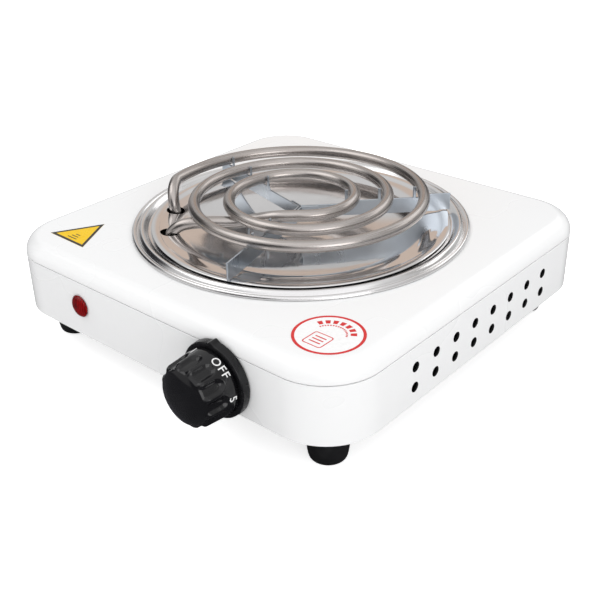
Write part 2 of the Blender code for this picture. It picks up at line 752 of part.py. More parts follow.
def inner_wires():
    """Insulated leads along the housing's floor, between the terminals, the thermostat, the lamp and the tube."""
    low = BASE + 0.0060
    block_x, block_y = GLAND_X, REAR - 0.0300
    outer_pin, inner_pin = leg_point(OUTER_LEG_ANGLE, 0), leg_point(INNER_LEG_ANGLE, 0)
    routes = {
        "wire_live": (
            (block_x + 0.0180, block_y - 0.0040, low),
            (block_x + 0.0420, block_y - 0.0120, low),
            (0.0550, 0.0450 + BODY_Y, low),
            (0.0800, -0.0200 + BODY_Y, low),
            (0.0700, -0.0750 + BODY_Y, low),
            (KNOB_X + 0.0060, FRONT + 0.0300, low + 0.0030),
        ),
        "wire_neutral": (
            (block_x, block_y - 0.0090, low),
            (block_x + 0.0040, block_y - 0.0400, low),
            (outer_pin.x - 0.0120, outer_pin.y + 0.0300, low + 0.0020),
            (outer_pin.x - 0.0040, outer_pin.y + 0.0020, BASE + 0.0085),
        ),
        "wire_coil": (
            (KNOB_X - 0.0060, FRONT + 0.0290, low + 0.0030),
            (0.0250, -0.0650 + BODY_Y, low),
            (-0.0150, -0.0600 + BODY_Y, low),
            (inner_pin.x + 0.0060, inner_pin.y - 0.0020, BASE + 0.0070),
        ),
        "wire_lamp": (
            (LAMP_X + 0.0010, FRONT + 0.0215, LAMP_Z),
            (LAMP_X - 0.0080, FRONT + 0.0260, LAMP_Z - 0.0050),
            (-0.0900, -0.0400 + BODY_Y, low),
            (-0.0960, 0.0300 + BODY_Y, low),
            (block_x - 0.0180, block_y - 0.0010, low),
        ),
    }
    for name, knots in routes.items():
        sweep(name, smooth_path(knots, 4), 0.0012, 6, WIRE_SLEEVE)


def build():
    top_cover()
    side_wall()
    bottom_plate()
    feet()
    base_screws()
    trim_ring()
    drip_pan()
    heating_coil()
    coil_terminals()
    for label, angle in zip(("right", "rear_left", "front"), ARM_ANGLES):
        support_arm("support_arm_" + label, angle)
    thermostat(facing("knob_axis", (KNOB_X, FRONT, KNOB_Z), -1))
    lamp(facing("lamp_axis", (LAMP_X, FRONT, LAMP_Z), -1))
    cord_gland(facing("gland_axis", (GLAND_X, REAR, GLAND_Z), 1))
    mains_terminals()
    inner_wires()


clear_scene()
CUTTER = finish("cutter", (0.8, 0.2, 0.8), 0.5)
WHITE_PAINT = finish("white_enamel", (0.88, 0.88, 0.88), 0.22)
CHROME = finish("chrome", (0.80, 0.80, 0.81), 0.06, 1.0)
NICKEL = finish("nickel_sheath", (0.62, 0.56, 0.53), 0.30, 1.0)
ZINC = finish("zinc_plate", (0.60, 0.63, 0.66), 0.32, 1.0)
STEEL = finish("steel", (0.55, 0.55, 0.56), 0.35, 1.0)
BRASS = finish("brass", (0.72, 0.56, 0.26), 0.30, 1.0)
BLACK_GLOSS = finish("black_gloss_plastic", (0.015, 0.015, 0.017), 0.16)
BLACK_PLASTIC = finish("black_plastic", (0.014, 0.014, 0.015), 0.32)
WHITE_PLASTIC = finish("white_plastic", (0.80, 0.80, 0.78), 0.40)
RED_LENS = finish("red_lens", (0.45, 0.01, 0.02), 0.12)
RUBBER = finish("black_rubber", (0.02, 0.02, 0.02), 0.65)
CERAMIC = finish("ceramic", (0.86, 0.84, 0.78), 0.45)
WIRE_SLEEVE = finish("wire_sleeve", (0.78, 0.74, 0.64), 0.70)
build()
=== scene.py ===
"""The look of an electric hot plate: enamelled housing, chrome hob, nickel heating tube, knob, lamp and feet.

Metres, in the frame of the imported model: +Z up, the front with the knob towards -Y.
"""

import json
import math

import bmesh
import bpy
from mathutils import Matrix, Vector


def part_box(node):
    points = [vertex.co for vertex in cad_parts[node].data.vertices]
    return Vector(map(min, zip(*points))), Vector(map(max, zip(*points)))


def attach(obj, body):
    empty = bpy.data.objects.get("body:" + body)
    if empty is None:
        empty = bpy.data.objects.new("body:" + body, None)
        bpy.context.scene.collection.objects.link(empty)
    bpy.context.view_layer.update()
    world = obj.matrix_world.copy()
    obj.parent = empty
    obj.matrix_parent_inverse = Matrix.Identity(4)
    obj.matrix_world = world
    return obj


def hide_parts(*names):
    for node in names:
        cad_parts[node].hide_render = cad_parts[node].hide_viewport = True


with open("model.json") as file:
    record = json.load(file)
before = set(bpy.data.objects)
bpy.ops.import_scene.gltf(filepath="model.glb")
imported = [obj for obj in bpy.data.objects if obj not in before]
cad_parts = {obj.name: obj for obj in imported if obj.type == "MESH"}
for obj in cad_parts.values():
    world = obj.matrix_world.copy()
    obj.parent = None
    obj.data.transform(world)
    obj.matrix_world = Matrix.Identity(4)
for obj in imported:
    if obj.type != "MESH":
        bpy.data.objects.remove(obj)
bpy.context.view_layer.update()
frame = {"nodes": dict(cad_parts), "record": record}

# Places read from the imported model
WALL_LOW, WALL_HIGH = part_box("side_wall")
COVER_LOW, COVER_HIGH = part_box("top_cover")
COIL_LOW, COIL_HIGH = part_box("heating_coil")
BEZEL_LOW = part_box("knob_bezel")[0]
KNOB_LOW, KNOB_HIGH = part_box("control_knob")
LENS_LOW, LENS_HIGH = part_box("lamp_lens")
GLAND_LOW, GLAND_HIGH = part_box("cord_gland")
WIDTH = WALL_HIGH.x - WALL_LOW.x
DEPTH = WALL_HIGH.y - WALL_LOW.y
BODY_Y = (WALL_HIGH.y + WALL_LOW.y) / 2
FRONT, REAR = WALL_LOW.y, WALL_HIGH.y
BASE, WALL_TOP, TOP = WALL_LOW.z, WALL_HIGH.z, COVER_HIGH.z
RING_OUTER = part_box("trim_ring")[1].x
PAN_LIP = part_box("drip_pan")[1].x
PAN_LIP_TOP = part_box("drip_pan")[1].z
KNOB_X = (KNOB_LOW.x + KNOB_HIGH.x) / 2
KNOB_Z = (KNOB_LOW.z + KNOB_HIGH.z) / 2
KNOB_REACH = FRONT - KNOB_LOW.y
LAMP_X = (LENS_LOW.x + LENS_HIGH.x) / 2
LAMP_Z = (LENS_LOW.z + LENS_HIGH.z) / 2
GLAND_X = (GLAND_LOW.x + GLAND_HIGH.x) / 2
GLAND_Z = (GLAND_LOW.z + GLAND_HIGH.z) / 2

# The corners of a rounded square: which side of the middle, and where each quarter turn starts in degrees
QUADRANTS = ((1, 1, 0), (-1, 1, 90), (-1, -1, 180), (1, -1, 270))

# Housing
CORNER = 0.0296
SHOULDER_IN = 0.0084
SHEET = 0.0010
SEAM = 0.0004
SEAM_ROUND = 0.0003
VENT_COLUMNS = 8
VENT_PITCH = 0.0165
VENT_SHIFT = 0.0026
VENT_HEIGHTS = (0.0092, 0.0199)
VENT_RADIUS = 0.0026
LIP_WIDTH = 0.0090
LIP_UP = 0.0015
CUT_DEPTH = 0.006
BUSH_HOLE = 0.0053
GLAND_HOLE = 0.0063
BASE_SCREW_HOLE = 0.0018
BASE_SCREW_IN = 0.0055

# Hob
HOB_HOLE = 0.0774
TUBE_RADIUS = 0.0031
TUBE_CENTRE = COIL_HIGH.z - TUBE_RADIUS
SPIRAL_START = math.radians(221.3)
SPIRAL_RADIUS = 0.0744
SPIRAL_PITCH = 0.0184
SPIRAL_CURL = 0.00057
TURNS = 2.75
LEG_BEND = 0.0134
OUTER_LEG_ANGLE = math.radians(209)
INNER_LEG_ANGLE = math.radians(232.5)
LEG_REACH = 0.0705
LEG_HOLE = 0.0050
LEG_END = COIL_LOW.z
ARM_ANGLES = (45, 165, 285)
ARM_SHEET = 0.0009
ARM_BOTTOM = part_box("support_arm_front")[0].z
ARM_TOP = TUBE_CENTRE - TUBE_RADIUS - 0.0004
ARM_REACH = 0.0812
ARM_REST = 0.0757
ARM_FOLD = 0.0090
PAN_BOTTOM = TOP - 0.0072
PAN_FLAT = 0.0160
PAN_SHEET = 0.0006
ROUND_STEPS = 192

# Controls
GAP = 0.0003
BEZEL_RADIUS = 0.0189
BEZEL_DEPTH = FRONT - BEZEL_LOW.y
KNOB_RADIUS = 0.0166
FLUTES = 12
LENS_RADIUS = (LENS_HIGH.x - LENS_LOW.x) / 2
LENS_REACH = FRONT - LENS_LOW.y
GLAND_REACH = GLAND_HIGH.y - REAR
FACE_START = 0.0188
FLUTE_TOP = 0.0108
FLUTE_HALF_WIDTH = 0.0033
FLUTE_LENGTH = 0.0042
FLUTE_DEPTH = 0.0016
OFF_AT, LAST_AT = 37.0, 92.0
NUMERALS = 5

# Labels
LABEL_LOW = TOP + 0.00002
LABEL_THICK = 0.00008
INK_THICK = LABEL_THICK / 2

# Camera
CAMERA_PLACE = (0.3094, -0.3437, 0.2701)
CAMERA_PITCH = math.radians(28.872)
CAMERA_YAW = math.radians(41.255)
CAMERA_ROLL = math.radians(-1.187)
CAMERA_LENS = 57.16

# Light
DOME_LOW = 0.90
DOME_HIGH = 0.97

# What the chrome sees of the room: grey by height, then stretches of (towards, soft edge, full, colour)
ROOM_LEVELS = ((0.0, 0.50), (0.12, 0.56), (0.30, 0.62), (0.50, 0.66), (0.72, 0.74), (1.0, 0.90))
ROOM_PATCHES = (
    ((-0.953, -0.083, 0.292), 0.890, 0.970, (0.018, 0.018, 0.022)),
    ((0.455, -0.455, 0.766), 0.720, 0.866, (1.15, 1.15, 1.16)),
    ((0.424, 0.734, 0.530), 0.900, 0.985, (0.40, 0.39, 0.38)),
    ((-0.33, 0.93, 0.16), 0.975, 0.992, (0.12, 0.12, 0.12)),
    ((-0.59, 0.73, 0.34), 0.975, 0.992, (0.66, 0.54, 0.46)),
    ((0.10, -0.98, 0.20), 0.900, 0.960, (0.05, 0.05, 0.055)),
)

# A Mix node's sockets for two colours, and its colour output
MIX_COLOURS = slice(6, 8)
MIX_RESULT = 2


# ---------------------------------------------------------------- mesh helpers


def add_object(name, data):
    obj = bpy.data.objects.new(name, data)
    bpy.context.scene.collection.objects.link(obj)
    return obj


def smooth(mesh, sharp):
    """Smooth shading, except across edges sharper than the angle in degrees."""
    mesh.shade_smooth()
    mesh.set_sharp_from_angle(angle=math.radians(sharp))


def link(name, mesh, material=None, sharp=35):
    smooth(mesh, sharp)
    if material:
        mesh.materials.append(material)
    return add_object(name, mesh)


def mesh_piece(name, points, faces, material=None, sharp=35):
    mesh = bpy.data.meshes.new(name)
    mesh.from_pydata([tuple(p) for p in points], [], faces)
    work = bmesh.new()
    work.from_mesh(mesh)
    bmesh.ops.recalc_face_normals(work, faces=work.faces)
    work.to_mesh(mesh)
    work.free()
    return link(name, mesh, material, sharp)


def loft(rings, closed_section=True):
    """Quads between rings of equal length. A closed section makes a shell, an open one gets end caps."""
    count = len(rings[0])
    points = [point for ring in rings for point in ring]
    faces = []
    last = len(rings) if closed_section else len(rings) - 1
    for i in range(last):
        a, b = i * count, ((i + 1) % len(rings)) * count
        for j in range(count):
            k = (j + 1) % count
            faces.append((a + j, a + k, b + k, b + j))
    if not closed_section:
        faces.append(tuple(range(count)))
        faces.append(tuple(range((len(rings) - 1) * count, len(rings) * count)))
    return points, faces


def round_turns(steps):
    return [2 * math.pi * i / steps for i in range(steps)]


def circle(radius, z, steps):
    return [(radius * math.cos(t), radius * math.sin(t), z) for t in round_turns(steps)]


def turned(name, profile, material, steps=96, sharp=35, closed_section=True):
    rings = [circle(r, z, steps) for r, z in profile]
    return mesh_piece(name, *loft(rings, closed_section), material, sharp)


def curve(knots, per_span):
    """A Catmull-Rom curve through the knots, of any dimension."""
    knots = [Vector(k) for k in knots]
    padded = [2 * knots[0] - knots[1]] + knots + [2 * knots[-1] - knots[-2]]
    path = []
    for i in range(1, len(padded) - 2):
        a, b, c, d = padded[i - 1 : i + 3]
        for k in range(per_span):
            t = k / per_span
            squared = (2 * a - 5 * b + 4 * c - d) * (t * t)
            cubed = (3 * b - a - 3 * c + d) * (t * t * t)
            path.append(0.5 * (2 * b + (c - a) * t + squared + cubed))
    path.append(knots[-1])
    return path


def rounded_profile(corners, radius, steps=3):
    """A closed outline (across, up) with each corner cut by a small arc."""
    outline = []
    count = len(corners)
    for i, corner in enumerate(corners):
        here = Vector(corner)
        before, after = Vector(corners[i - 1]) - here, Vector(corners[(i + 1) % count]) - here
        reach = min(radius, before.length / 2.2, after.length / 2.2)
        start, end = here + before.normalized() * reach, here + after.normalized() * reach
        for k in range(steps + 1):
            t = k / steps
            outline.append(start * (1 - t) ** 2 + here * 2 * t * (1 - t) + end * t * t)
    return [tuple(p) for p in outline]


def sweep(name, path, radius, sides, material):
    """A round bar along a path, with a float attribute for the run along it and the turn round it."""
    points = [Vector(p) for p in path]
    count = len(points)
    first = (points[1] - points[0]).normalized()
    normal = Vector((0, 0, 1)) if abs(first.z) < 0.9 else Vector((first.z, 0, 0)).cross(first)
    rings, runs, run = [], [], 0.0
    for i, point in enumerate(points):
        tangent = (points[min(i + 1, count - 1)] - points[max(i - 1, 0)]).normalized()
        normal = (normal - tangent * normal.dot(tangent)).normalized()
        side = tangent.cross(normal)
        run += (point - points[i - 1]).length if i else 0.0
        turns = round_turns(sides)
        rings.append([point + radius * (math.cos(t) * normal + math.sin(t) * side) for t in turns])
        runs += [(run, math.cos(t), math.sin(t)) for t in turns]
    obj = mesh_piece(name, *loft(rings, closed_section=False), material, 50)
    layer = obj.data.attributes.new("run", "FLOAT_VECTOR", "POINT")
    for i, value in enumerate(runs):
        layer.data[i].vector = value
    return obj


def facing(location, direction):
    """The transform whose local +Z points out of the front wall (-1) or the rear wall (+1)."""
    return Matrix.Translation(location) @ Matrix.Rotation(math.radians(-90 * direction), 4, "X")


def settle(obj, transform):
    """Moves the mesh itself, so that the object stays at the origin."""
    obj.data.transform(transform)
    return obj


def baked(obj):
    """The object with its modifiers applied to its mesh."""
    graph = bpy.context.evaluated_depsgraph_get()
    mesh = bpy.data.meshes.new_from_object(obj.evaluated_get(graph))
    obj.modifiers.clear()
    old = obj.data
    obj.data = mesh
    bpy.data.meshes.remove(old)
    return obj


def subtract(obj, cutters, sharp=35):
    """The object with all the cutters taken out of it, in one Boolean."""
    work = bmesh.new()
    for cutter in cutters:
        work.from_mesh(cutter.data)
        bpy.data.objects.remove(cutter, do_unlink=True)
    mesh = bpy.data.meshes.new("cutters")
    work.to_mesh(mesh)
    work.free()
    joined = add_object("cutters", mesh)
    boolean = obj.modifiers.new("cut", "BOOLEAN")
    boolean.operation = "DIFFERENCE"
    boolean.object = joined
    baked(obj)
    bpy.data.objects.remove(joined, do_unlink=True)
    smooth(obj.data, sharp)
    return obj


def cube(name):
    mesh = bpy.data.meshes.new(name)
    work = bmesh.new()
    bmesh.ops.create_cube(work, size=1.0)
    work.to_mesh(mesh)
    work.free()
    return add_object(name, mesh)


def bar(radius, centre, axis, length, steps=32):
    obj = turned("bar", [(radius, -length / 2), (radius, length / 2)], None, steps, closed_section=False)
    turn = {"X": Matrix.Rotation(math.pi / 2, 4, "Y"), "Y": Matrix.Rotation(math.pi / 2, 4, "X")}
    return settle(obj, Matrix.Translation(centre) @ turn.get(axis, Matrix.Identity(4)))


def soften(obj, width):
    bevel = obj.modifiers.new("edges", "BEVEL")
    bevel.width = width
    bevel.segments = 2
    bevel.limit_method = "ANGLE"
    bevel.angle_limit = math.radians(30)
    bevel.harden_normals = False
    return obj


def even_normals(obj):
    weighted = obj.modifiers.new("even_normals", "WEIGHTED_NORMAL")
    weighted.keep_sharp = True
    weighted.weight = 80
    return obj


def stands_for(obj, slot, body, *nodes):
    if nodes:
        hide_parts(*nodes)
    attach(obj, body)
    return obj


# ---------------------------------------------------------------- materials


def add_node(tree, kind, **values):
    """A shader node with its properties, or else its sockets, set by name."""
    made = tree.nodes.new("ShaderNode" + kind)
    for key, value in values.items():
        if hasattr(made, key):
            setattr(made, key, value)
        else:
            made.inputs[key.replace("_", " ")].default_value = value
    return made


def mixed_colour(tree, factor, first, second):
    """A colour between the two, each of which is a colour or an output."""
    made = add_node(tree, "Mix", data_type="RGBA")
    tree.links.new(factor, made.inputs["Factor"])
    for socket, value in zip(made.inputs[MIX_COLOURS], (first, second)):
        if isinstance(value, tuple):
            socket.default_value = (*value, 1.0)
        else:
            tree.links.new(value, socket)
    return made.outputs[MIX_RESULT]


class Shader:
    """A Principled material with short calls for the nodes that give it its surface."""

    def __init__(self, name, colour, roughness, metallic=0.0):
        self.material = bpy.data.materials.new(name)
        self.material.use_nodes = True
        self.tree = self.material.node_tree
        self.principled = self.tree.nodes["Principled BSDF"]
        self.set(Base_Color=(*colour, 1.0), Roughness=roughness, Metallic=metallic)
        self.coords = self.tree.nodes.new("ShaderNodeTexCoord").outputs["Object"]
        self.bumps = []

    def set(self, **values):
        for key, value in values.items():
            self.principled.inputs[key.replace("_", " ")].default_value = value
        return self

    def node(self, kind, **values):
        return add_node(self.tree, kind, **values)

    def wire(self, output, target):
        self.tree.links.new(output, target)
        return self

    def stretched(self, scale, source=None):
        mapping = self.node("Mapping", Scale=scale)
        self.wire(source or self.coords, mapping.inputs["Vector"])
        return mapping.outputs["Vector"]

    def noise(self, scale, detail=3.0, vector=None, rough=0.55):
        made = self.node("TexNoise", Scale=scale, Detail=detail, Roughness=rough)
        self.wire(vector or self.coords, made.inputs["Vector"])
        return made.outputs["Fac"]

    def ramp(self, value, low, high, start=0.0, end=1.0):
        """A number between start and end as the value goes from low to high."""
        made = self.node("MapRange", From_Min=low, From_Max=high, To_Min=start, To_Max=end)
        self.wire(value, made.inputs["Value"])
        return made.outputs["Result"]

    def math(self, operation, first, second):
        made = self.node("Math", operation=operation)
        for socket, value in zip(made.inputs, (first, second)):
            if isinstance(value, (int, float)):
                socket.default_value = value
            else:
                self.wire(value, socket)
        return made.outputs[0]

    def blend(self, factor, first, second):
        return mixed_colour(self.tree, factor, first, second)

    def colour(self, output):
        return self.wire(output, self.principled.inputs["Base Color"])

    def roughness(self, output):
        return self.wire(output, self.principled.inputs["Roughness"])

    def bump(self, height, strength, distance):
        """One more layer of relief, on top of those before it."""
        made = self.node("Bump", Strength=strength, Distance=distance)
        self.wire(height, made.inputs["Height"])
        if self.bumps:
            self.wire(self.bumps[-1].outputs["Normal"], made.inputs["Normal"])
        self.bumps.append(made)
        return self.wire(made.outputs["Normal"], self.principled.inputs["Normal"])


def white_enamel():
    """Stove enamel: a thick gloss coat with a slight, broad waviness and a very faint change of tone."""
    s = Shader("white_enamel", (0.90, 0.90, 0.90), 0.25)
    s.set(Coat_Weight=0.35, Coat_Roughness=0.10, IOR=1.5)
    tone = s.noise(5.0, 2.0)
    s.colour(s.blend(s.ramp(tone, 0.1, 0.9), (0.884, 0.886, 0.890), (0.868, 0.870, 0.873)))
    s.roughness(s.ramp(s.noise(14.0, 2.0), 0.1, 0.9, 0.24, 0.30))
    s.bump(s.noise(30.0, 1.0), 0.01, 0.0001)
    return s.material


def ground_coat():
    """Near-black paint inside the housing, as painted shade for the dark inside seen through the holes,
    speckled where the enamel's overspray has dried on it.
    """
    s = Shader("ground_coat", (0.012, 0.012, 0.013), 0.6)
    s.colour(s.blend(s.ramp(s.noise(700.0, 3.0), 0.45, 0.75), (0.010, 0.010, 0.011), (0.022, 0.022, 0.024)))
    s.roughness(s.ramp(s.noise(200.0, 2.0), 0.3, 0.7, 0.55, 0.75))
    s.bump(s.noise(1500.0, 2.0), 0.15, 0.00004)
    return s.material


def chrome(name, low, high, waviness, tint):
    """Bright plate with fine circular polishing marks, smudges and a slight waviness of the thin sheet."""
    s = Shader(name, tint, low, 1.0)
    centred = s.node("Mapping", Location=(0.0, -BODY_Y, 0.0))
    s.wire(s.coords, centred.inputs["Vector"])
    parts = s.node("SeparateXYZ")
    s.wire(centred.outputs["Vector"], parts.inputs["Vector"])
    flat = s.node("CombineXYZ")
    s.wire(parts.outputs["X"], flat.inputs["X"])
    s.wire(parts.outputs["Y"], flat.inputs["Y"])
    reach = s.node("VectorMath", operation="LENGTH")
    s.wire(flat.outputs["Vector"], reach.inputs[0])
    circles = s.node("CombineXYZ")
    s.wire(reach.outputs["Value"], circles.inputs["X"])
    marks = s.noise(2400.0, 2.0, circles.outputs["Vector"])
    smudge = s.noise(30.0, 4.0)
    s.roughness(s.math("ADD", s.ramp(smudge, 0.35, 0.7, low, high), s.ramp(marks, 0.3, 0.7, 0.0, 0.03)))
    darker = tuple(0.93 * channel for channel in tint)
    s.colour(s.blend(s.ramp(smudge, 0.4, 0.75), tint, darker))
    s.bump(s.noise(38.0, 2.0), waviness, 0.0004)
    s.bump(marks, 0.05, 0.00002)
    return s.material


def nickel_sheath():
    """The heating tube's satin nickel steel: heat tint in patches, and drawing marks along it."""
    s = Shader("nickel_sheath", (0.49, 0.455, 0.435), 0.3, 1.0)
    run = s.node("Attribute", attribute_name="run", attribute_type="GEOMETRY").outputs["Vector"]
    streaks = s.noise(1.0, 3.0, s.stretched((45.0, 7.0, 7.0), run))
    fine = s.noise(1.0, 2.0, s.stretched((180.0, 30.0, 30.0), run))
    patches = s.noise(22.0, 2.0)
    warm = s.blend(s.ramp(patches, 0.35, 0.65), (0.48, 0.445, 0.425), (0.40, 0.355, 0.33))
    s.colour(s.blend(s.ramp(streaks, 0.35, 0.75, 0.0, 0.5), warm, (0.53, 0.505, 0.49)))
    s.roughness(s.ramp(streaks, 0.3, 0.7, 0.22, 0.33))
    s.bump(fine, 0.14, 0.00004)
    return s.material


def zinc_plate():
    """Zinc-plated sheet: a cool blue-grey film in soft patches, faint spangles and rolling marks."""
    s = Shader("zinc_plate", (0.44, 0.48, 0.52), 0.3, 1.0)
    spangle = s.node("TexVoronoi", Scale=150.0)
    s.wire(s.coords, spangle.inputs["Vector"])
    cells = s.node("SeparateXYZ")
    s.wire(spangle.outputs["Color"], cells.inputs["Vector"])
    film = s.ramp(s.noise(40.0, 2.0), 0.35, 0.7)
    base = s.blend(film, (0.47, 0.51, 0.55), (0.37, 0.41, 0.46))
    s.colour(s.blend(s.ramp(cells.outputs["X"], 0.0, 1.0, 0.0, 0.10), base, (0.62, 0.66, 0.70)))
    s.roughness(s.ramp(cells.outputs["Y"], 0.0, 1.0, 0.27, 0.31))
    s.bump(s.noise(1.0, 2.0, s.stretched((300.0, 300.0, 2600.0))), 0.06, 0.00004)
    return s.material


def moulded(name, colour, lighter, low, high, grain, coat=0.0, shine=0.5):
    """Moulded plastic or rubber, with its skin's grain and lighter rubbed patches."""
    s = Shader(name, colour, low)
    s.set(Coat_Weight=coat, Coat_Roughness=0.06, Specular_IOR_Level=shine)
    wear = s.noise(150.0, 4.0)
    s.colour(s.blend(s.ramp(wear, 0.45, 0.75), colour, lighter))
    s.roughness(s.ramp(s.noise(90.0, 4.0), 0.3, 0.7, low, high))
    s.bump(s.noise(420.0, 2.0), grain, 0.00005)
    return s.material


def bare_metal(name, light, dark, low, high):
    """Turned or pressed small hardware with tool marks and dull patches."""
    s = Shader(name, light, low, 1.0)
    s.colour(s.blend(s.ramp(s.noise(220.0, 4.0), 0.35, 0.7), light, dark))
    s.roughness(s.ramp(s.noise(320.0, 3.0), 0.3, 0.7, low, high))
    s.bump(s.noise(1.0, 2.0, s.stretched((700.0, 700.0, 4200.0))), 0.2, 0.00003)
    return s.material


def red_lens():
    """Deep red lamp lens: clear outside, with darker moulded flutes seen inside it."""
    s = Shader("red_lens", (0.24, 0.003, 0.004), 0.10)
    s.set(Coat_Weight=0.15, Coat_Roughness=0.05, Specular_IOR_Level=0.25)
    flutes = s.node("TexWave", Scale=260.0, Distortion=0.4)
    s.wire(s.coords, flutes.inputs["Vector"])
    deep = s.blend(s.ramp(flutes.outputs["Fac"], 0.2, 0.9), (0.13, 0.0005, 0.001), (0.27, 0.002, 0.003))
    s.colour(s.blend(s.ramp(s.noise(260.0, 2.0), 0.45, 0.75), deep, (0.08, 0.0005, 0.001)))
    s.roughness(s.ramp(s.noise(500.0, 2.0), 0.3, 0.7, 0.08, 0.16))
    s.bump(s.noise(420.0, 1.0), 0.05, 0.00003)
    return s.material


def ceramic():
    s = Shader("ceramic", (0.86, 0.84, 0.78), 0.5)
    s.colour(s.blend(s.ramp(s.noise(400.0, 4.0), 0.4, 0.7), (0.88, 0.86, 0.81), (0.74, 0.71, 0.64)))
    s.roughness(s.ramp(s.noise(900.0, 3.0), 0.3, 0.7, 0.40, 0.62))
    s.bump(s.noise(3200.0, 3.0), 0.25, 0.00003)
    return s.material


def wire_sleeve():
    """Woven glass-fibre sleeve."""
    s = Shader("wire_sleeve", (0.78, 0.74, 0.64), 0.8)
    weave = s.node("TexWave", Scale=900.0, Distortion=1.5)
    weave.bands_direction = "DIAGONAL"
    s.wire(s.coords, weave.inputs["Vector"])
    s.colour(s.blend(weave.outputs["Fac"], (0.80, 0.76, 0.66), (0.60, 0.56, 0.47)))
    s.roughness(s.ramp(s.noise(700.0, 2.0), 0.3, 0.7, 0.70, 0.88))
    s.bump(weave.outputs["Fac"], 0.5, 0.00006)
    return s.material


def printed(name, colour, faded):
    """Ink or foil on a thin plastic label, with a slight mottle."""
    s = Shader(name, colour, 0.3)
    s.set(Specular_IOR_Level=0.2)
    s.colour(s.blend(s.ramp(s.noise(520.0, 4.0), 0.42, 0.75), colour, faded))
    s.roughness(s.ramp(s.noise(240.0, 3.0), 0.3, 0.7, 0.24, 0.40))
    s.bump(s.noise(1500.0, 2.0), 0.06, 0.00002)
    return s.material


def make_materials():
    return {
        "white_enamel": white_enamel(),
        "ground_coat": ground_coat(),
        "chrome": chrome("pan_chrome", 0.035, 0.09, 0.20, (0.80, 0.79, 0.79)),
        "ring_chrome": chrome("ring_chrome", 0.13, 0.22, 0.10, (0.80, 0.79, 0.79)),
        "nickel_sheath": nickel_sheath(),
        "zinc_plate": zinc_plate(),
        "steel": bare_metal("steel", (0.62, 0.62, 0.63), (0.42, 0.42, 0.43), 0.25, 0.45),
        "brass": bare_metal("brass", (0.76, 0.60, 0.30), (0.56, 0.42, 0.18), 0.22, 0.40),
        "black_gloss_plastic": moulded(
            "black_gloss_plastic", (0.006, 0.006, 0.007), (0.009, 0.009, 0.010), 0.08, 0.13, 0.02, 0.2, 0.3
        ),
        "black_plastic": moulded(
            "black_plastic", (0.006, 0.006, 0.007), (0.010, 0.010, 0.011), 0.22, 0.32, 0.05, 0.0, 0.3
        ),
        "white_plastic": moulded("white_plastic", (0.80, 0.80, 0.78), (0.72, 0.72, 0.70), 0.35, 0.50, 0.10),
        "black_rubber": moulded(
            "black_rubber", (0.007, 0.007, 0.008), (0.014, 0.014, 0.015), 0.40, 0.55, 0.15
        ),
        "red_lens": red_lens(),
        "ceramic": ceramic(),
        "wire_sleeve": wire_sleeve(),
        "label_yellow": printed("label_yellow", (0.88, 0.57, 0.006), (0.80, 0.48, 0.004)),
        "label_black": printed("label_black", (0.025, 0.025, 0.025), (0.05, 0.05, 0.05)),
        "label_white": printed("label_white", (0.90, 0.90, 0.90), (0.84, 0.84, 0.84)),
        "label_red": printed("label_red", (0.66, 0.035, 0.035), (0.58, 0.03, 0.03)),
        "dial_white": printed("dial_white", (0.88, 0.88, 0.88), (0.78, 0.78, 0.78)),
    }


# ---------------------------------------------------------------- housing


def plan_outline(inset, z, corner_steps=16, side_steps=10):
    """The housing's rounded square at one height, moved inwards by the inset."""
    half_x, half_y, radius = WIDTH / 2 - inset, DEPTH / 2 - inset, CORNER - inset
    points = []
    for sx, sy, start in QUADRANTS:
        cx, cy = sx * (half_x - radius), sy * (half_y - radius)
        for i in range(corner_steps + 1):
            turn = math.radians(start + 90 * i / corner_steps)
            points.append(Vector((cx + radius * math.cos(turn), BODY_Y + cy + radius * math.sin(turn), z)))
    ring = []
    for i, point in enumerate(points):
        ring.append(point)
        if i % (corner_steps + 1) == corner_steps:
            following = points[(i + 1) % len(points)]
            ring += [point.lerp(following, k / side_steps) for k in range(1, side_steps)]
    return ring


def hob_opening(radius, z):
    """The round opening, with one point for each point of the housing's outline."""
    ring = []
    for point in plan_outline(0, z):
        turn = math.atan2(point.y - BODY_Y, point.x)
        ring.append((radius * math.cos(turn), BODY_Y + radius * math.sin(turn), z))
    return ring


def shoulder(inset, lift, steps=12):
    """(inset, height) up the cover's rounded shoulder, offset inwards by a sheet thickness."""
    seam = WALL_TOP + SEAM
    rings = []
    for i in range(steps + 1):
        turn = math.pi / 2 * i / steps
        across = SHOULDER_IN - (SHOULDER_IN - inset) * math.cos(turn)
        rings.append((across, seam + (TOP - seam - lift) * math.sin(turn)))
    return rings


def top_cover(looks):
    """The pressed cover, with a rolled edge round the hob and an inner tongue that seats in the side wall."""
    tongue_out, tongue_in = SHEET + 0.0004, SHEET + 0.0014
    seam = WALL_TOP + SEAM
    outside = shoulder(0, 0)
    outside[0] = (0, seam + SEAM_ROUND)
    rings = [plan_outline(a, z) for a, z in outside]
    rings.append(hob_opening(HOB_HOLE + 0.0006, TOP))
    rings.append(hob_opening(HOB_HOLE, TOP - 0.0005))
    rings.append(hob_opening(HOB_HOLE, TOP - SHEET))
    rings += [plan_outline(a, z) for a, z in reversed(shoulder(tongue_in, SHEET))]
    under = ((tongue_in, COVER_LOW.z), (tongue_out, COVER_LOW.z), (tongue_out, seam), (SEAM_ROUND, seam))
    rings += [plan_outline(a, z) for a, z in under]
    rings.append(plan_outline(0.0001, seam + 0.0001))
    cover = mesh_piece("cover_shell", *loft(rings), looks["white_enamel"], 40)
    return stands_for(even_normals(cover), "white_enamel", "chassis", "top_cover")


def base_screw_places():
    reach_x = WIDTH / 2 - SHEET - BASE_SCREW_IN
    reach_y = DEPTH / 2 - SHEET - BASE_SCREW_IN
    return {"front": (0, -reach_y), "right": (reach_x, 0), "rear": (0, reach_y), "left": (-reach_x, 0)}


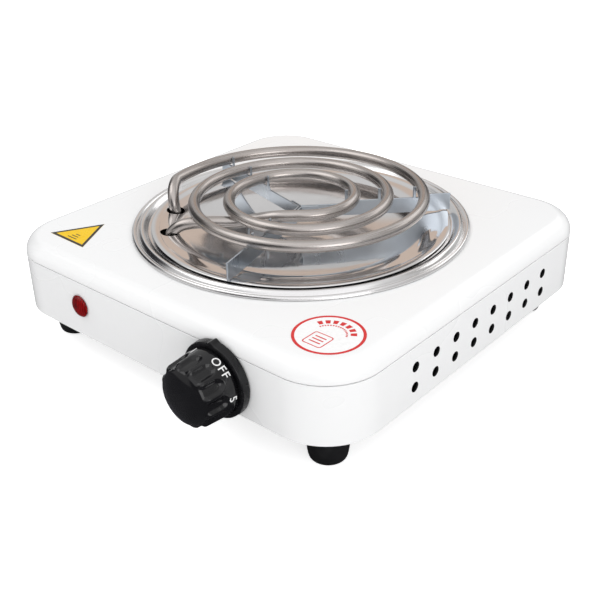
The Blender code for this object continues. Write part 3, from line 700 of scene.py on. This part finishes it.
def side_wall(looks):
    """The wrapped wall with its rounded sheet edges, vent holes, and openings for the lamp, knob and cord."""
    lip = LIP_WIDTH + SHEET
    corners = (
        (0, BASE),
        (0, WALL_TOP),
        (SHEET, WALL_TOP),
        (SHEET, BASE + LIP_UP + SHEET),
        (lip, BASE + LIP_UP + SHEET),
        (lip, BASE + LIP_UP),
        (SHEET, BASE + LIP_UP),
        (SHEET, BASE),
    )
    section = rounded_profile(corners, SEAM_ROUND)
    rings = [plan_outline(a, z) for a, z in section]
    wall = mesh_piece("wall_shell", *loft(rings), looks["white_enamel"], 50)
    cutters = []
    for side in (1, -1):
        for column in range(VENT_COLUMNS):
            along = BODY_Y + VENT_SHIFT + (column - (VENT_COLUMNS - 1) / 2) * VENT_PITCH
            for height in VENT_HEIGHTS:
                centre = (side * WIDTH / 2, along, BASE + height)
                cutters.append(bar(VENT_RADIUS, centre, "X", CUT_DEPTH))
    cutters.append(bar(BUSH_HOLE, (KNOB_X, FRONT, KNOB_Z), "Y", CUT_DEPTH))
    cutters.append(bar(BUSH_HOLE, (LAMP_X, FRONT, LAMP_Z), "Y", CUT_DEPTH))
    cutters.append(bar(GLAND_HOLE, (GLAND_X, REAR, GLAND_Z), "Y", CUT_DEPTH))
    for x, y in base_screw_places().values():
        cutters.append(bar(BASE_SCREW_HOLE, (x, BODY_Y + y, BASE + LIP_UP), "Z", CUT_DEPTH))
    subtract(wall, cutters, 50)
    # Painted shade: the inner faces and hole rims get the near-black ground_coat.
    coat_inside(wall, looks["ground_coat"])
    return stands_for(even_normals(wall), "white_enamel", "chassis", "side_wall")


def coat_inside(wall, coat):
    """Paints the wall's inner faces, and the rims of its holes, near-black with the ground_coat material:
    painted shade for the dark inside of the housing.
    """
    wall.data.materials.append(coat)
    for face in wall.data.polygons:
        x, y, z = face.center
        across = min(WIDTH / 2 - abs(x), DEPTH / 2 - abs(y - BODY_Y))
        corner = Vector((WIDTH / 2 - CORNER - abs(x), DEPTH / 2 - CORNER - abs(y - BODY_Y)))
        if corner.x < 0 and corner.y < 0:
            across = CORNER - corner.length
        between_edges = BASE + 2 * SEAM_ROUND < z < WALL_TOP - 2 * SEAM_ROUND
        if across > 0.3 * SHEET and between_edges:
            face.material_index = 1


def foot(looks, corner):
    """A moulded rubber foot: a flange against the base, a bowl below it, and a soft edge at the bottom."""
    low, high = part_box("foot_" + corner)
    reach = (high.x - low.x) / 2
    place = Vector(((low.x + high.x) / 2, (low.y + high.y) / 2, 0))
    bore, recess, shelf = 0.0024, 0.0046, high.z - 0.0089
    outside = [
        (reach - 0.0004, high.z),
        (reach, high.z - 0.0005),
        (reach, high.z - 0.0026),
        (reach - 0.0003, high.z - 0.0060),
        (0.0101, high.z - 0.0109),
        (0.0095, high.z - 0.0160),
        (0.0088, high.z - 0.0188),
        (0.0076, low.z),
    ]
    profile = [tuple(p) for p in curve(outside, 4)]
    profile += [(recess + 0.0004, low.z), (recess, low.z + 0.0004)]
    profile += [(recess, shelf), (bore, shelf), (bore, high.z)]
    obj = turned("foot_pad_" + corner, profile, looks["black_rubber"], 64, 40)
    settle(obj, Matrix.Translation(place))
    return stands_for(obj, "black_rubber", "chassis", "foot_" + corner)


def cross_screw(looks, name, node, head_radius, shank_radius, head_depth):
    """A domed screw head facing down, with a cross recess, on its shank."""
    low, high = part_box(node)
    place = Vector(((low.x + high.x) / 2, (low.y + high.y) / 2, 0))
    dome = (
        (0.0002, low.z),
        (head_radius * 0.6, low.z + 0.0001),
        (head_radius, low.z + head_depth * 0.6),
    )
    profile = [tuple(p) for p in curve(dome, 4)]
    profile += [(head_radius, low.z + head_depth), (shank_radius, low.z + head_depth)]
    threads = 6
    for i in range(threads):
        start = low.z + head_depth + 0.0004 + i * (high.z - low.z - head_depth - 0.0006) / threads
        profile += [(shank_radius, start), (shank_radius * 0.86, start + 0.0003)]
    profile.append((shank_radius * 0.7, high.z))
    screw = turned(name, profile, looks["steel"], 32, 40, closed_section=False)
    shape = Matrix.Diagonal((head_radius * 1.15, head_radius * 0.26, head_depth * 0.9, 1.0))
    for turn in (0, math.pi / 2):
        slot = cube("slot")
        settle(slot, Matrix.Translation((0, 0, low.z)) @ Matrix.Rotation(turn + 0.4, 4, "Z") @ shape)
        subtract(screw, [slot], 40)
    settle(screw, Matrix.Translation(place))
    return stands_for(screw, "steel", "chassis", node)


# ---------------------------------------------------------------- hob


def trim_ring(looks):
    """The pressed ring round the hob: a small outer bead, a groove, then a raised bead sloping inwards."""
    section = (
        (0.0, GAP),
        (0.0001, 0.0010),
        (0.0006, 0.0017),
        (0.0014, 0.0019),
        (0.0023, 0.0015),
        (0.0031, 0.0010),
        (0.0039, 0.0020),
        (0.0048, 0.0028),
        (0.0057, 0.0029),
        (0.0067, 0.0024),
        (0.0081, 0.0014),
        (0.0094, 0.0007),
    )
    top = [(RING_OUTER - inwards, TOP + up) for inwards, up in section]
    top.append((HOB_HOLE + 0.0004, TOP + 0.0007))
    profile = [tuple(p) for p in curve(top, 5)]
    profile += [(HOB_HOLE + 0.0002, TOP + 0.0006), (HOB_HOLE + 0.0002, TOP + GAP)]
    ring = turned("hob_ring", profile, looks["ring_chrome"], ROUND_STEPS, 50)
    settle(ring, Matrix.Translation((0, BODY_Y, 0)))
    return stands_for(ring, "chrome", "chassis", "trim_ring")


def pan_profile():
    """The drip pan's upper surface: a flat flange, a crease, then the shallow bowl in to the centre."""
    knots = [
        (PAN_LIP, TOP + 0.0016),
        (PAN_LIP - 0.0003, PAN_LIP_TOP - 0.0001),
        (PAN_LIP - 0.0010, PAN_LIP_TOP),
        (PAN_LIP - 0.0023, PAN_LIP_TOP),
        (PAN_LIP - 0.0036, PAN_LIP_TOP - 0.0001),
        (PAN_LIP - 0.0047, TOP + 0.0016),
    ]
    bowl = (
        (0.0742, 0.0013),
        (0.0715, 0.0011),
        (0.0690, 0.0009),
        (0.0665, 0.0005),
        (0.0635, -0.0002),
        (0.0600, -0.0012),
        (0.0550, -0.0025),
        (0.0480, -0.0040),
        (0.0400, -0.0053),
        (0.0300, -0.0064),
        (0.0220, -0.0070),
    )
    knots += [(radius, TOP + height) for radius, height in bowl]
    knots += [(PAN_FLAT, PAN_BOTTOM), (PAN_FLAT * 0.6, PAN_BOTTOM), (PAN_FLAT * 0.2, PAN_BOTTOM)]
    return [tuple(p) for p in curve(knots, 5)]


def under_side(profile, thickness):
    """The same profile, run from its outer end inwards, moved square to itself to the sheet's other face."""
    ends = [Vector(point) for point in profile]
    runs = [end - start for start, end in zip(ends, ends[1:])]
    normals = [Vector((-run.y, run.x)).normalized() for run in runs]
    moved = []
    for i, point in enumerate(ends):
        beside = normals[max(i - 1, 0)] + normals[min(i, len(normals) - 1)]
        moved.append(tuple(point + thickness * beside.normalized()))
    return moved


def leg_point(angle, height, reach=LEG_REACH):
    return Vector((reach * math.cos(angle), BODY_Y + reach * math.sin(angle), height))


def drip_pan(looks):
    upper = pan_profile()
    outline = upper[::-1] + under_side(upper, PAN_SHEET)
    pan = turned("pan_shell", outline, looks["chrome"], ROUND_STEPS, 50, closed_section=False)
    settle(pan, Matrix.Translation((0, BODY_Y, 0)))
    cutters = []
    for angle in (OUTER_LEG_ANGLE, INNER_LEG_ANGLE):
        cutters.append(bar(LEG_HOLE, leg_point(angle, TOP - 0.001), "Z", 0.012, 48))
    subtract(pan, cutters, 50)
    curved_normals(pan.data, upper)
    return stands_for(pan, "chrome", "chassis", "drip_pan")


def curved_normals(mesh, profile):
    """Gives the pan's upper face its profile's exact normals, so that the leg holes don't dent the mirror."""
    inner = [(r, z) for r, z in profile if r < PAN_LIP - 0.0004][::-1]

    def slope(radius):
        for (r0, z0), (r1, z1) in zip(inner, inner[1:]):
            if r0 <= radius <= r1:
                return (z1 - z0) / (r1 - r0)
        return None

    normals = [(0.0, 0.0, 0.0)] * len(mesh.loops)
    for face in mesh.polygons:
        if face.normal.z < 0.4:
            continue
        for index in face.loop_indices:
            point = mesh.vertices[mesh.loops[index].vertex_index].co
            radius = math.hypot(point.x, point.y - BODY_Y)
            behind, ahead = slope(radius - 0.0006), slope(radius + 0.0006)
            if behind is None or ahead is None:
                continue
            across = -(behind + ahead) / 2
            normal = Vector((across * point.x / radius, across * (point.y - BODY_Y) / radius, 1.0))
            normals[index] = tuple(normal.normalized())
    mesh.normals_split_custom_set(normals)


def spiral_radius(turn):
    return SPIRAL_RADIUS - SPIRAL_PITCH * turn + SPIRAL_CURL * (turn - 1.5) ** 2


def spiral_point(turn):
    angle = SPIRAL_START - 2 * math.pi * turn
    radius = spiral_radius(turn)
    return Vector((radius * math.cos(angle), BODY_Y + radius * math.sin(angle), TUBE_CENTRE))


def outer_leg(steps=18):
    """Up out of the pan, then a quarter bend into the spiral's first turn."""
    rise_top = TUBE_CENTRE - LEG_BEND
    path = [leg_point(OUTER_LEG_ANGLE, LEG_END + (rise_top - LEG_END) * i / 4) for i in range(5)]
    for i in range(1, steps + 1):
        turn = math.pi / 2 * i / steps
        angle = OUTER_LEG_ANGLE - LEG_BEND * (1 - math.cos(turn)) / LEG_REACH
        start = (SPIRAL_START - angle) / (2 * math.pi)
        reach = LEG_REACH + (spiral_radius(start) - LEG_REACH) * i / steps
        path.append(leg_point(angle, TUBE_CENTRE - LEG_BEND * (1 - math.sin(turn)), reach))
    return path, start


def inner_leg():
    """From the innermost turn, down under the outer turns and along to the second hole in the pan."""
    knots = [
        spiral_point(TURNS),
        (0.0050, BODY_Y - 0.0260, TUBE_CENTRE - 0.0011),
        (-0.0060, BODY_Y - 0.0295, TUBE_CENTRE - 0.0044),
        (-0.0150, BODY_Y - 0.0338, TUBE_CENTRE - 0.0069),
        (-0.0255, BODY_Y - 0.0420, TUBE_CENTRE - 0.0071),
        (-0.0330, BODY_Y - 0.0483, TUBE_CENTRE - 0.0074),
        (-0.0385, BODY_Y - 0.0528, TUBE_CENTRE - 0.0092),
        leg_point(INNER_LEG_ANGLE, TUBE_CENTRE - 0.0140, LEG_REACH - 0.0006),
        leg_point(INNER_LEG_ANGLE, TUBE_CENTRE - 0.0205),
        leg_point(INNER_LEG_ANGLE, LEG_END),
    ]
    return curve(knots, 10)[1:]


def heating_coil(looks):
    path, start = outer_leg()
    steps = 360
    path += [spiral_point(start + (TURNS - start) * i / steps) for i in range(1, steps + 1)]
    path += inner_leg()
    coil = sweep("heating_tube", path, TUBE_RADIUS, 28, looks["nickel_sheath"])
    return stands_for(coil, "nickel_sheath", "chassis", "heating_coil")


def arm_top_edge(angle):
    """(along, height) inwards along the arm's upper edge: level under each turn, with a hook beside it."""
    clear = TUBE_RADIUS + 0.0004
    hook_width, hook_top = 0.0017, TUBE_CENTRE + 0.0026
    tip_top = ARM_TOP + 0.0016
    start = (SPIRAL_START - math.radians(angle)) / (2 * math.pi) % 1.0
    crossings = [spiral_radius(start + k) for k in range(3) if start + k < TURNS]
    edge = [(ARM_REACH, tip_top), (crossings[0] + clear, tip_top), (crossings[0] + clear, ARM_TOP)]
    for radius in crossings:
        outer, inner = radius - clear, radius - clear - hook_width
        edge += [(outer, ARM_TOP), (outer, hook_top), (inner, hook_top), (inner, ARM_TOP)]
    return edge, crossings[-1] - clear - hook_width


def support_arm(looks, label, angle):
    """A folded sheet with softened edges: a long plate under the turns, and a short flange at its root."""
    near, far = GAP, GAP + ARM_SHEET
    fold = math.radians(120)
    low_top = ARM_TOP - 0.0016
    edge, last = arm_top_edge(angle)
    rest = PAN_LIP_TOP + GAP
    outline = [(0.0, ARM_BOTTOM), (ARM_REST - 0.0012, ARM_BOTTOM), (ARM_REST, rest), (ARM_REACH, rest)]
    outline += edge + [(last - 0.0012, low_top), (0.0, low_top)]
    flange = [(-ARM_FOLD, ARM_BOTTOM), (-ARM_FOLD, low_top)]

    def placed(along, side):
        mitre = Vector(((side - 0.5 * side) / math.sin(fold), side))
        if along >= 0:
            return Vector((max(along, mitre.x), side))
        return mitre + Vector((math.cos(fold), math.sin(fold))) * -along

    turn = math.radians(angle)
    points, count = [], len(outline) + len(flange)
    for side in (near, far):
        for along, height in outline + flange[::-1]:
            flat = placed(along, side)
            flat.rotate(Matrix.Rotation(turn, 2))
            points.append((flat.x, BODY_Y + flat.y, height))
    plate = list(range(len(outline)))
    flap = [0, len(outline) - 1, len(outline), len(outline) + 1]
    faces = []
    for shift in (0, count):
        faces.append(tuple(i + shift for i in plate))
        faces.append(tuple(i + shift for i in flap))
    for i in range(count):
        k = (i + 1) % count
        faces.append((i, k, k + count, i + count))
    arm = mesh_piece("arm_plate_" + label, points, faces, looks["zinc_plate"], 30)
    even_normals(soften(arm, 0.00022))
    return stands_for(arm, "zinc_plate", "chassis", "support_arm_" + label)


# ---------------------------------------------------------------- controls


def knob_side(height):
    """The knob's plain radius: a slight taper outwards from its skirt."""
    return KNOB_RADIUS - 0.0012 * (height - 0.006) / 0.016


def flute(turn, height, radius):
    """How far a finger flute cuts in: round-ended at its top, and shallower across the domed face."""
    pitch = 2 * math.pi / FLUTES
    offset = ((turn + pitch / 2) % pitch - pitch / 2) * radius / FLUTE_HALF_WIDTH
    ending = max(0.0, (FLUTE_TOP + FLUTE_LENGTH - height) / FLUTE_LENGTH)
    share = max(0.0, 1 - offset * offset - ending * ending)
    fade = max(0.0, 1 - (knob_side(height) - radius) / 0.0024)
    return FLUTE_DEPTH * min(1.0, share * 1.35) ** 0.8 * fade


def control_knob(looks, transform):
    steps = FLUTES * 24
    rear = BEZEL_DEPTH + 2 * GAP
    bore = 0.0033
    side = [(1.0 - 0.02, rear), (1.0, rear + 0.0003), (1.0, 0.0080), (1.0, 0.0100)]
    side += [(1.0, FLUTE_TOP + 0.00028 * i) for i in range(26)]
    side += [(1.0, 0.0183), (1.0, FACE_START)]
    dome = curve(
        [
            (1.0, FACE_START),
            (0.992, 0.0199),
            (0.950, 0.0212),
            (0.870, 0.0223),
            (0.760, 0.0233),
            (0.600, 0.0243),
            (0.400, 0.0251),
            (0.200, 0.0255),
            (0.020, KNOB_REACH),
        ],
        5,
    )
    rings = [circle(bore, 0.0170, steps), circle(bore, rear, steps)]
    for share, height in side + [tuple(p) for p in dome[1:]]:
        ring = []
        for turn in round_turns(steps):
            plain = share * knob_side(min(height, FACE_START))
            radius = plain - flute(turn, min(height, 0.0200), plain)
            ring.append((radius * math.cos(turn), radius * math.sin(turn), height))
        rings.append(ring)
    knob = mesh_piece("knob_cap", *loft(rings, closed_section=False), looks["black_gloss_plastic"], 60)
    settle(knob, transform)
    return stands_for(knob, "black_gloss_plastic", "knob", "control_knob")


def dial_mark(looks, name, text, middle, transform):
    """Raised white lettering wrapped round the knob's skirt, its tops towards the wall."""
    size, lift, centre_height = 0.0056, 0.00006, 0.0088
    font = bpy.data.curves.new(name, "FONT")
    font.body = text
    font.size = size
    font.align_x = "CENTER"
    font.align_y = "CENTER"
    font.space_character = 1.15
    font.offset = 0.00002
    font.extrude = lift
    font.resolution_u = 6
    drawn = add_object(name, font)
    graph = bpy.context.evaluated_depsgraph_get()
    mesh = bpy.data.meshes.new_from_object(drawn.evaluated_get(graph))
    bpy.data.objects.remove(drawn, do_unlink=True)
    work = bmesh.new()
    work.from_mesh(mesh)
    bmesh.ops.triangulate(work, faces=work.faces)
    bmesh.ops.subdivide_edges(work, edges=[e for e in work.edges if e.calc_length() > 0.0009], cuts=2)
    work.to_mesh(mesh)
    work.free()
    for vertex in mesh.vertices:
        x, y, depth = vertex.co
        height = centre_height - y
        radius = knob_side(height) + depth
        turn = math.radians(middle) + x / knob_side(centre_height)
        vertex.co = (radius * math.sin(turn), radius * math.cos(turn), height)
    mesh.materials.clear()
    mark = link(name, mesh, looks["dial_white"], 40)
    settle(mark, transform)
    return stands_for(mark, "white_plastic", "knob")


def dial_marks(looks, transform):
    """OFF, then the numerals, evenly spaced down to the last one beside OFF."""
    dial_mark(looks, "dial_off", "OFF", OFF_AT, transform)
    spacing = (360 - (LAST_AT - OFF_AT)) / NUMERALS
    for number in range(1, NUMERALS + 1):
        dial_mark(looks, f"dial_{number}", str(number), LAST_AT + spacing * (NUMERALS - number), transform)


def knob_bezel(looks, transform):
    """The fixed ring behind the knob, with a rounded outer edge and the index bump on top."""
    steps = 240
    recess, bore, floor = 0.0092, 0.0052, 0.0036
    corners = (
        (BEZEL_RADIUS, GAP),
        (BEZEL_RADIUS - 0.0003, BEZEL_DEPTH),
        (BEZEL_RADIUS - 0.0040, BEZEL_DEPTH),
        (bore, BEZEL_DEPTH - 0.0002),
        (bore, floor),
        (recess, floor),
        (recess, GAP),
    )
    section = rounded_profile(corners, 0.0009, 4)

    def reach(radius, turn):
        offset = abs(math.degrees(turn) - 90)
        bump = 0.0013 * math.exp(-((offset / 4.2) ** 2))
        return radius + bump if radius > BEZEL_RADIUS - 0.0019 else radius

    rings = []
    for radius, height in section:
        reaches = [(reach(radius, t), t) for t in round_turns(steps)]
        rings.append([(r * math.cos(t), r * math.sin(t), height) for r, t in reaches])
    bezel = mesh_piece("bezel_ring", *loft(rings), looks["black_plastic"], 50)
    settle(bezel, transform)
    return stands_for(bezel, "black_plastic", "chassis", "knob_bezel")


def lamp_lens(looks, transform):
    """A low domed lens with a thin bead where it sits on the wall."""
    rim = 0.0008
    profile = [(LENS_RADIUS - 0.0008, GAP), (LENS_RADIUS - 0.0001, GAP + 0.0001), (LENS_RADIUS, 0.0006)]
    profile += [(LENS_RADIUS, rim), (LENS_RADIUS - 0.0003, rim + 0.0002)]
    inner, low = LENS_RADIUS - 0.0004, rim + 0.0002
    steps = 14
    for i in range(1, steps):
        turn = math.pi / 2 * i / steps
        profile.append((inner * math.cos(turn), low + (LENS_REACH - low) * math.sin(turn)))
    profile.append((0.0001, LENS_REACH))
    lens = turned("lens_dome", profile, looks["red_lens"], 64, 40, closed_section=False)
    settle(lens, transform)
    return stands_for(lens, "red_lens", "chassis", "lamp_lens")


def cord_gland(looks, transform):
    """The rubber bush in the rear wall, its rim rounded and its bore open."""
    bore, neck, flange = 0.0036, 0.0059, 0.0085
    corners = (
        (bore, GLAND_REACH),
        (0.0062, GLAND_REACH),
        (flange, 0.0018),
        (flange, GAP),
        (neck, GAP),
        (neck, -SHEET - GAP),
        (0.0075, -SHEET - GAP),
        (0.0068, -0.0050),
        (bore, -0.0050),
    )
    gland = turned("gland_bush", rounded_profile(corners, 0.0006, 4), looks["black_rubber"], 72, 50)
    settle(gland, transform)
    return stands_for(gland, "black_rubber", "chassis", "cord_gland")


# ---------------------------------------------------------------- labels


def sheet_piece(looks, name, outlines, low, thick, look):
    """Flat shapes of one thickness lying on the cover, each outline a list of (x, y)."""
    points, faces = [], []
    for outline in outlines:
        count, first = len(outline), len(points)
        points += [(x, y, low) for x, y in outline] + [(x, y, low + thick) for x, y in outline]
        faces.append(tuple(range(first, first + count)))
        faces.append(tuple(range(first + count, first + 2 * count)))
        for i in range(count):
            k = (i + 1) % count
            faces.append((first + i, first + k, first + count + k, first + count + i))
    piece = mesh_piece(name, points, faces, looks[look], 30)
    return stands_for(piece, "white_plastic", "chassis")


def ring_band(looks, name, outer, inner, low, thick, look):
    """A flat closed band between two outlines of equal length."""
    rings = [[(x, y, low) for x, y in outer], [(x, y, low + thick) for x, y in outer]]
    rings += [[(x, y, low + thick) for x, y in inner], [(x, y, low) for x, y in inner]]
    piece = mesh_piece(name, *loft(rings), looks[look], 30)
    return stands_for(piece, "white_plastic", "chassis")


def triangle(corners, inset):
    """The triangle moved inwards from each side by the inset."""
    middle = sum((Vector(c) for c in corners), Vector((0, 0))) / 3
    inradius = min(
        abs((Vector(b) - Vector(a)).normalized().cross(middle - Vector(a)))
        for a, b in zip(corners, corners[1:] + corners[:1])
    )
    return [tuple(middle + (Vector(c) - middle) * (1 - inset / inradius)) for c in corners]


def triangle_label(looks):
    """A plain yellow triangle with a dark border and a small row of bars."""
    corners = [(-0.0938, BODY_Y - 0.0944), (-0.0661, BODY_Y - 0.0951), (-0.0800, BODY_Y - 0.0696)]
    border = 0.0015
    sheet_piece(looks, "label_triangle", [triangle(corners, 0.0)], LABEL_LOW, LABEL_THICK, "label_yellow")
    level = LABEL_LOW + LABEL_THICK
    inside = triangle(corners, border)
    ring_band(looks, "label_triangle_border", corners, inside, level, INK_THICK, "label_black")
    bars = []
    for i, (start, length) in enumerate(((-0.0035, 0.0070), (-0.0026, 0.0052), (-0.0016, 0.0032))):
        y = BODY_Y - 0.0914 + i * 0.0020
        x = -0.0800 + start
        bars.append([(x, y), (x + length, y), (x + length, y + 0.0006), (x, y + 0.0006)])
    sheet_piece(looks, "label_triangle_bars", bars, level, INK_THICK, "label_black")


def around(centre, radius, turn):
    return (centre[0] + radius * math.cos(turn), centre[1] + radius * math.sin(turn))


def round_outline(centre, radius, steps=96):
    return [around(centre, radius, t) for t in round_turns(steps)]


def rounded_square(centre, half, radius, steps=6):
    points = []
    for sx, sy, start in QUADRANTS:
        for i in range(steps + 1):
            turn = math.radians(start + 90 * i / steps)
            x = centre[0] + sx * (half - radius) + radius * math.cos(turn)
            points.append((x, centre[1] + sy * (half - radius) + radius * math.sin(turn)))
    return points


def arc_dashes(centre, radius, width, start, end, count, fill):
    """Short dashes along an arc, as a plain stand-in for small print."""
    dashes = []
    for i in range(count):
        a = math.radians(start + (end - start) * i / count)
        b = math.radians(start + (end - start) * (i + fill) / count)
        inner, outer = radius - width / 2, radius + width / 2
        ends = ((inner, a), (outer, a), (outer, b), (inner, b))
        dashes.append([around(centre, reach, turn) for reach, turn in ends])
    return dashes


def round_label(looks):
    """A white disc with a red rim, a square frame round three plain bars, and two arcs of dashes."""
    centre, radius = (0.0873, BODY_Y - 0.0832), 0.0163
    disc = round_outline(centre, radius)
    sheet_piece(looks, "label_disc", [disc], LABEL_LOW, LABEL_THICK, "label_white")
    level = LABEL_LOW + LABEL_THICK
    rim = round_outline(centre, radius - 0.0014)
    ring_band(looks, "label_disc_rim", disc, rim, level, INK_THICK, "label_red")
    frame_centre = (centre[0] - 0.0010, centre[1] - 0.0062)
    outer = rounded_square(frame_centre, 0.0052, 0.0014)
    inner = rounded_square(frame_centre, 0.0047, 0.0010)
    ring_band(looks, "label_disc_frame", outer, inner, level, INK_THICK, "label_red")
    marks = arc_dashes(centre, 0.0108, 0.0028, 155, 25, 7, 0.62)
    marks += arc_dashes(centre, 0.0078, 0.0009, 160, 20, 16, 0.60)
    for i in range(3):
        y = frame_centre[1] - 0.0026 + i * 0.0022
        x = frame_centre[0] - 0.0030
        marks.append([(x, y), (x + 0.0060, y), (x + 0.0060, y + 0.0007), (x, y + 0.0007)])
    sheet_piece(looks, "label_disc_marks", marks, level, INK_THICK, "label_red")


# ---------------------------------------------------------------- the rest of the model, and the room


def dress_nodes(looks):
    """Gives every CAD node that still shows the procedural material of its slot."""
    slots = {row["node"]: row["material_slot"] for row in frame["record"]["subparts"]}
    for name, node in frame["nodes"].items():
        node.data.materials.clear()
        node.data.materials.append(looks[slots[name]])


def studio_floor():
    """A pale, faintly mottled sweep under the object, dimmer in reflections than it is to the camera."""
    s = Shader("studio_floor", (0.93, 0.93, 0.93), 0.9)
    s.set(Specular_IOR_Level=0.0, Emission_Color=(1.0, 1.0, 1.0, 1.0))
    path = s.node("LightPath")
    mottle = s.blend(s.ramp(s.noise(2.0, 2.0), 0.3, 0.7), (0.94, 0.94, 0.94), (0.92, 0.92, 0.92))
    s.colour(s.blend(path.outputs["Is Glossy Ray"], mottle, (0.10, 0.10, 0.11)))
    glow = s.math("MULTIPLY", path.outputs["Is Camera Ray"], 0.70)
    s.wire(glow, s.principled.inputs["Emission Strength"])
    points = [(-4, -4, 0), (4, -4, 0), (4, 4, 0), (-4, 4, 0)]
    floor = mesh_piece("floor", points, [(0, 1, 2, 3)], s.material)
    if floor.data.polygons[0].normal.z < 0:
        floor.data.flip_normals()


def area_light(name, place, target, size, power):
    light = bpy.data.lights.new(name, "AREA")
    light.shape = "RECTANGLE"
    light.size, light.size_y = size
    light.energy = power
    obj = add_object(name, light)
    obj.location = place
    obj.rotation_euler = (Vector(target) - Vector(place)).to_track_quat("-Z", "Y").to_euler()


def studio_world():
    """White to the camera, an even dome for light, and a room with darker stretches for reflections."""
    world = bpy.data.worlds.new("studio")
    world.use_nodes = True
    bpy.context.scene.world = world
    tree = world.node_tree
    tree.nodes.clear()

    def node(kind, **values):
        return add_node(tree, kind, **values)

    def levels(stops):
        made = node("ValToRGB")
        tree.links.new(parts.outputs["Z"], made.inputs["Fac"])
        for i, (place, grey) in enumerate(stops):
            stop = made.color_ramp.elements[i] if i < 2 else made.color_ramp.elements.new(place)
            stop.position = place
            stop.color = (grey, grey, grey, 1)
        return made.outputs["Color"]

    direction = node("TexCoord").outputs["Generated"]
    parts = node("SeparateXYZ")
    tree.links.new(direction, parts.inputs[0])
    dome = levels(((0.0, DOME_LOW), (1.0, DOME_HIGH)))
    room = levels(ROOM_LEVELS)
    for towards, edge, full, colour in ROOM_PATCHES:
        dot = node("VectorMath", operation="DOT_PRODUCT")
        tree.links.new(direction, dot.inputs[0])
        dot.inputs[1].default_value = Vector(towards).normalized()
        share = node("MapRange", interpolation_type="SMOOTHSTEP", From_Min=edge, From_Max=full)
        tree.links.new(dot.outputs["Value"], share.inputs["Value"])
        room = mixed_colour(tree, share.outputs["Result"], room, colour)
    path = node("LightPath")
    seen = mixed_colour(tree, path.outputs["Is Glossy Ray"], dome, room)
    seen = mixed_colour(tree, path.outputs["Is Camera Ray"], seen, (1.0, 1.0, 1.0))
    background = node("Background")
    tree.links.new(seen, background.inputs["Color"])
    tree.links.new(background.outputs[0], node("OutputWorld").inputs["Surface"])


def studio():
    studio_floor()
    studio_world()
    middle = (0, BODY_Y, TOP)
    area_light("key", (-0.55, -0.48, 1.02), middle, (0.9, 0.7), 2.3)
    area_light("fill", (1.32, -0.55, 0.35), middle, (0.8, 0.8), 3.9)
    area_light("back", (0.25, 1.05, 0.75), middle, (1.2, 0.4), 1.6)
    bpy.context.scene.view_settings.view_transform = "Standard"


def camera():
    data = bpy.data.cameras.new("camera")
    data.lens = CAMERA_LENS
    data.sensor_width = 36.0
    data.clip_start, data.clip_end = 0.01, 50.0
    obj = add_object("camera", data)
    look = Matrix.Rotation(CAMERA_YAW, 4, "Z") @ Matrix.Rotation(math.pi / 2 - CAMERA_PITCH, 4, "X")
    obj.matrix_world = Matrix.Translation(CAMERA_PLACE) @ look @ Matrix.Rotation(CAMERA_ROLL, 4, "Z")
    bpy.context.scene.camera = obj


def build():
    camera()
    looks = make_materials()
    dress_nodes(looks)
    top_cover(looks)
    side_wall(looks)
    for corner in ("front_right", "rear_right", "rear_left", "front_left"):
        foot(looks, corner)
        cross_screw(looks, "foot_bolt_" + corner, "foot_screw_" + corner, 0.0038, 0.0019, 0.0022)
    for side in base_screw_places():
        cross_screw(looks, "case_screw_" + side, "base_screw_" + side, 0.0030, 0.0014, 0.0020)
    trim_ring(looks)
    drip_pan(looks)
    heating_coil(looks)
    for label, angle in zip(("right", "rear_left", "front"), ARM_ANGLES):
        support_arm(looks, label, angle)
    knob_axis = facing((KNOB_X, FRONT, KNOB_Z), -1)
    control_knob(looks, knob_axis)
    dial_marks(looks, knob_axis)
    knob_bezel(looks, knob_axis)
    lamp_lens(looks, facing((LAMP_X, FRONT, LAMP_Z), -1))
    cord_gland(looks, facing((GLAND_X, REAR, GLAND_Z), 1))
    triangle_label(looks)
    round_label(looks)
    studio()


build()
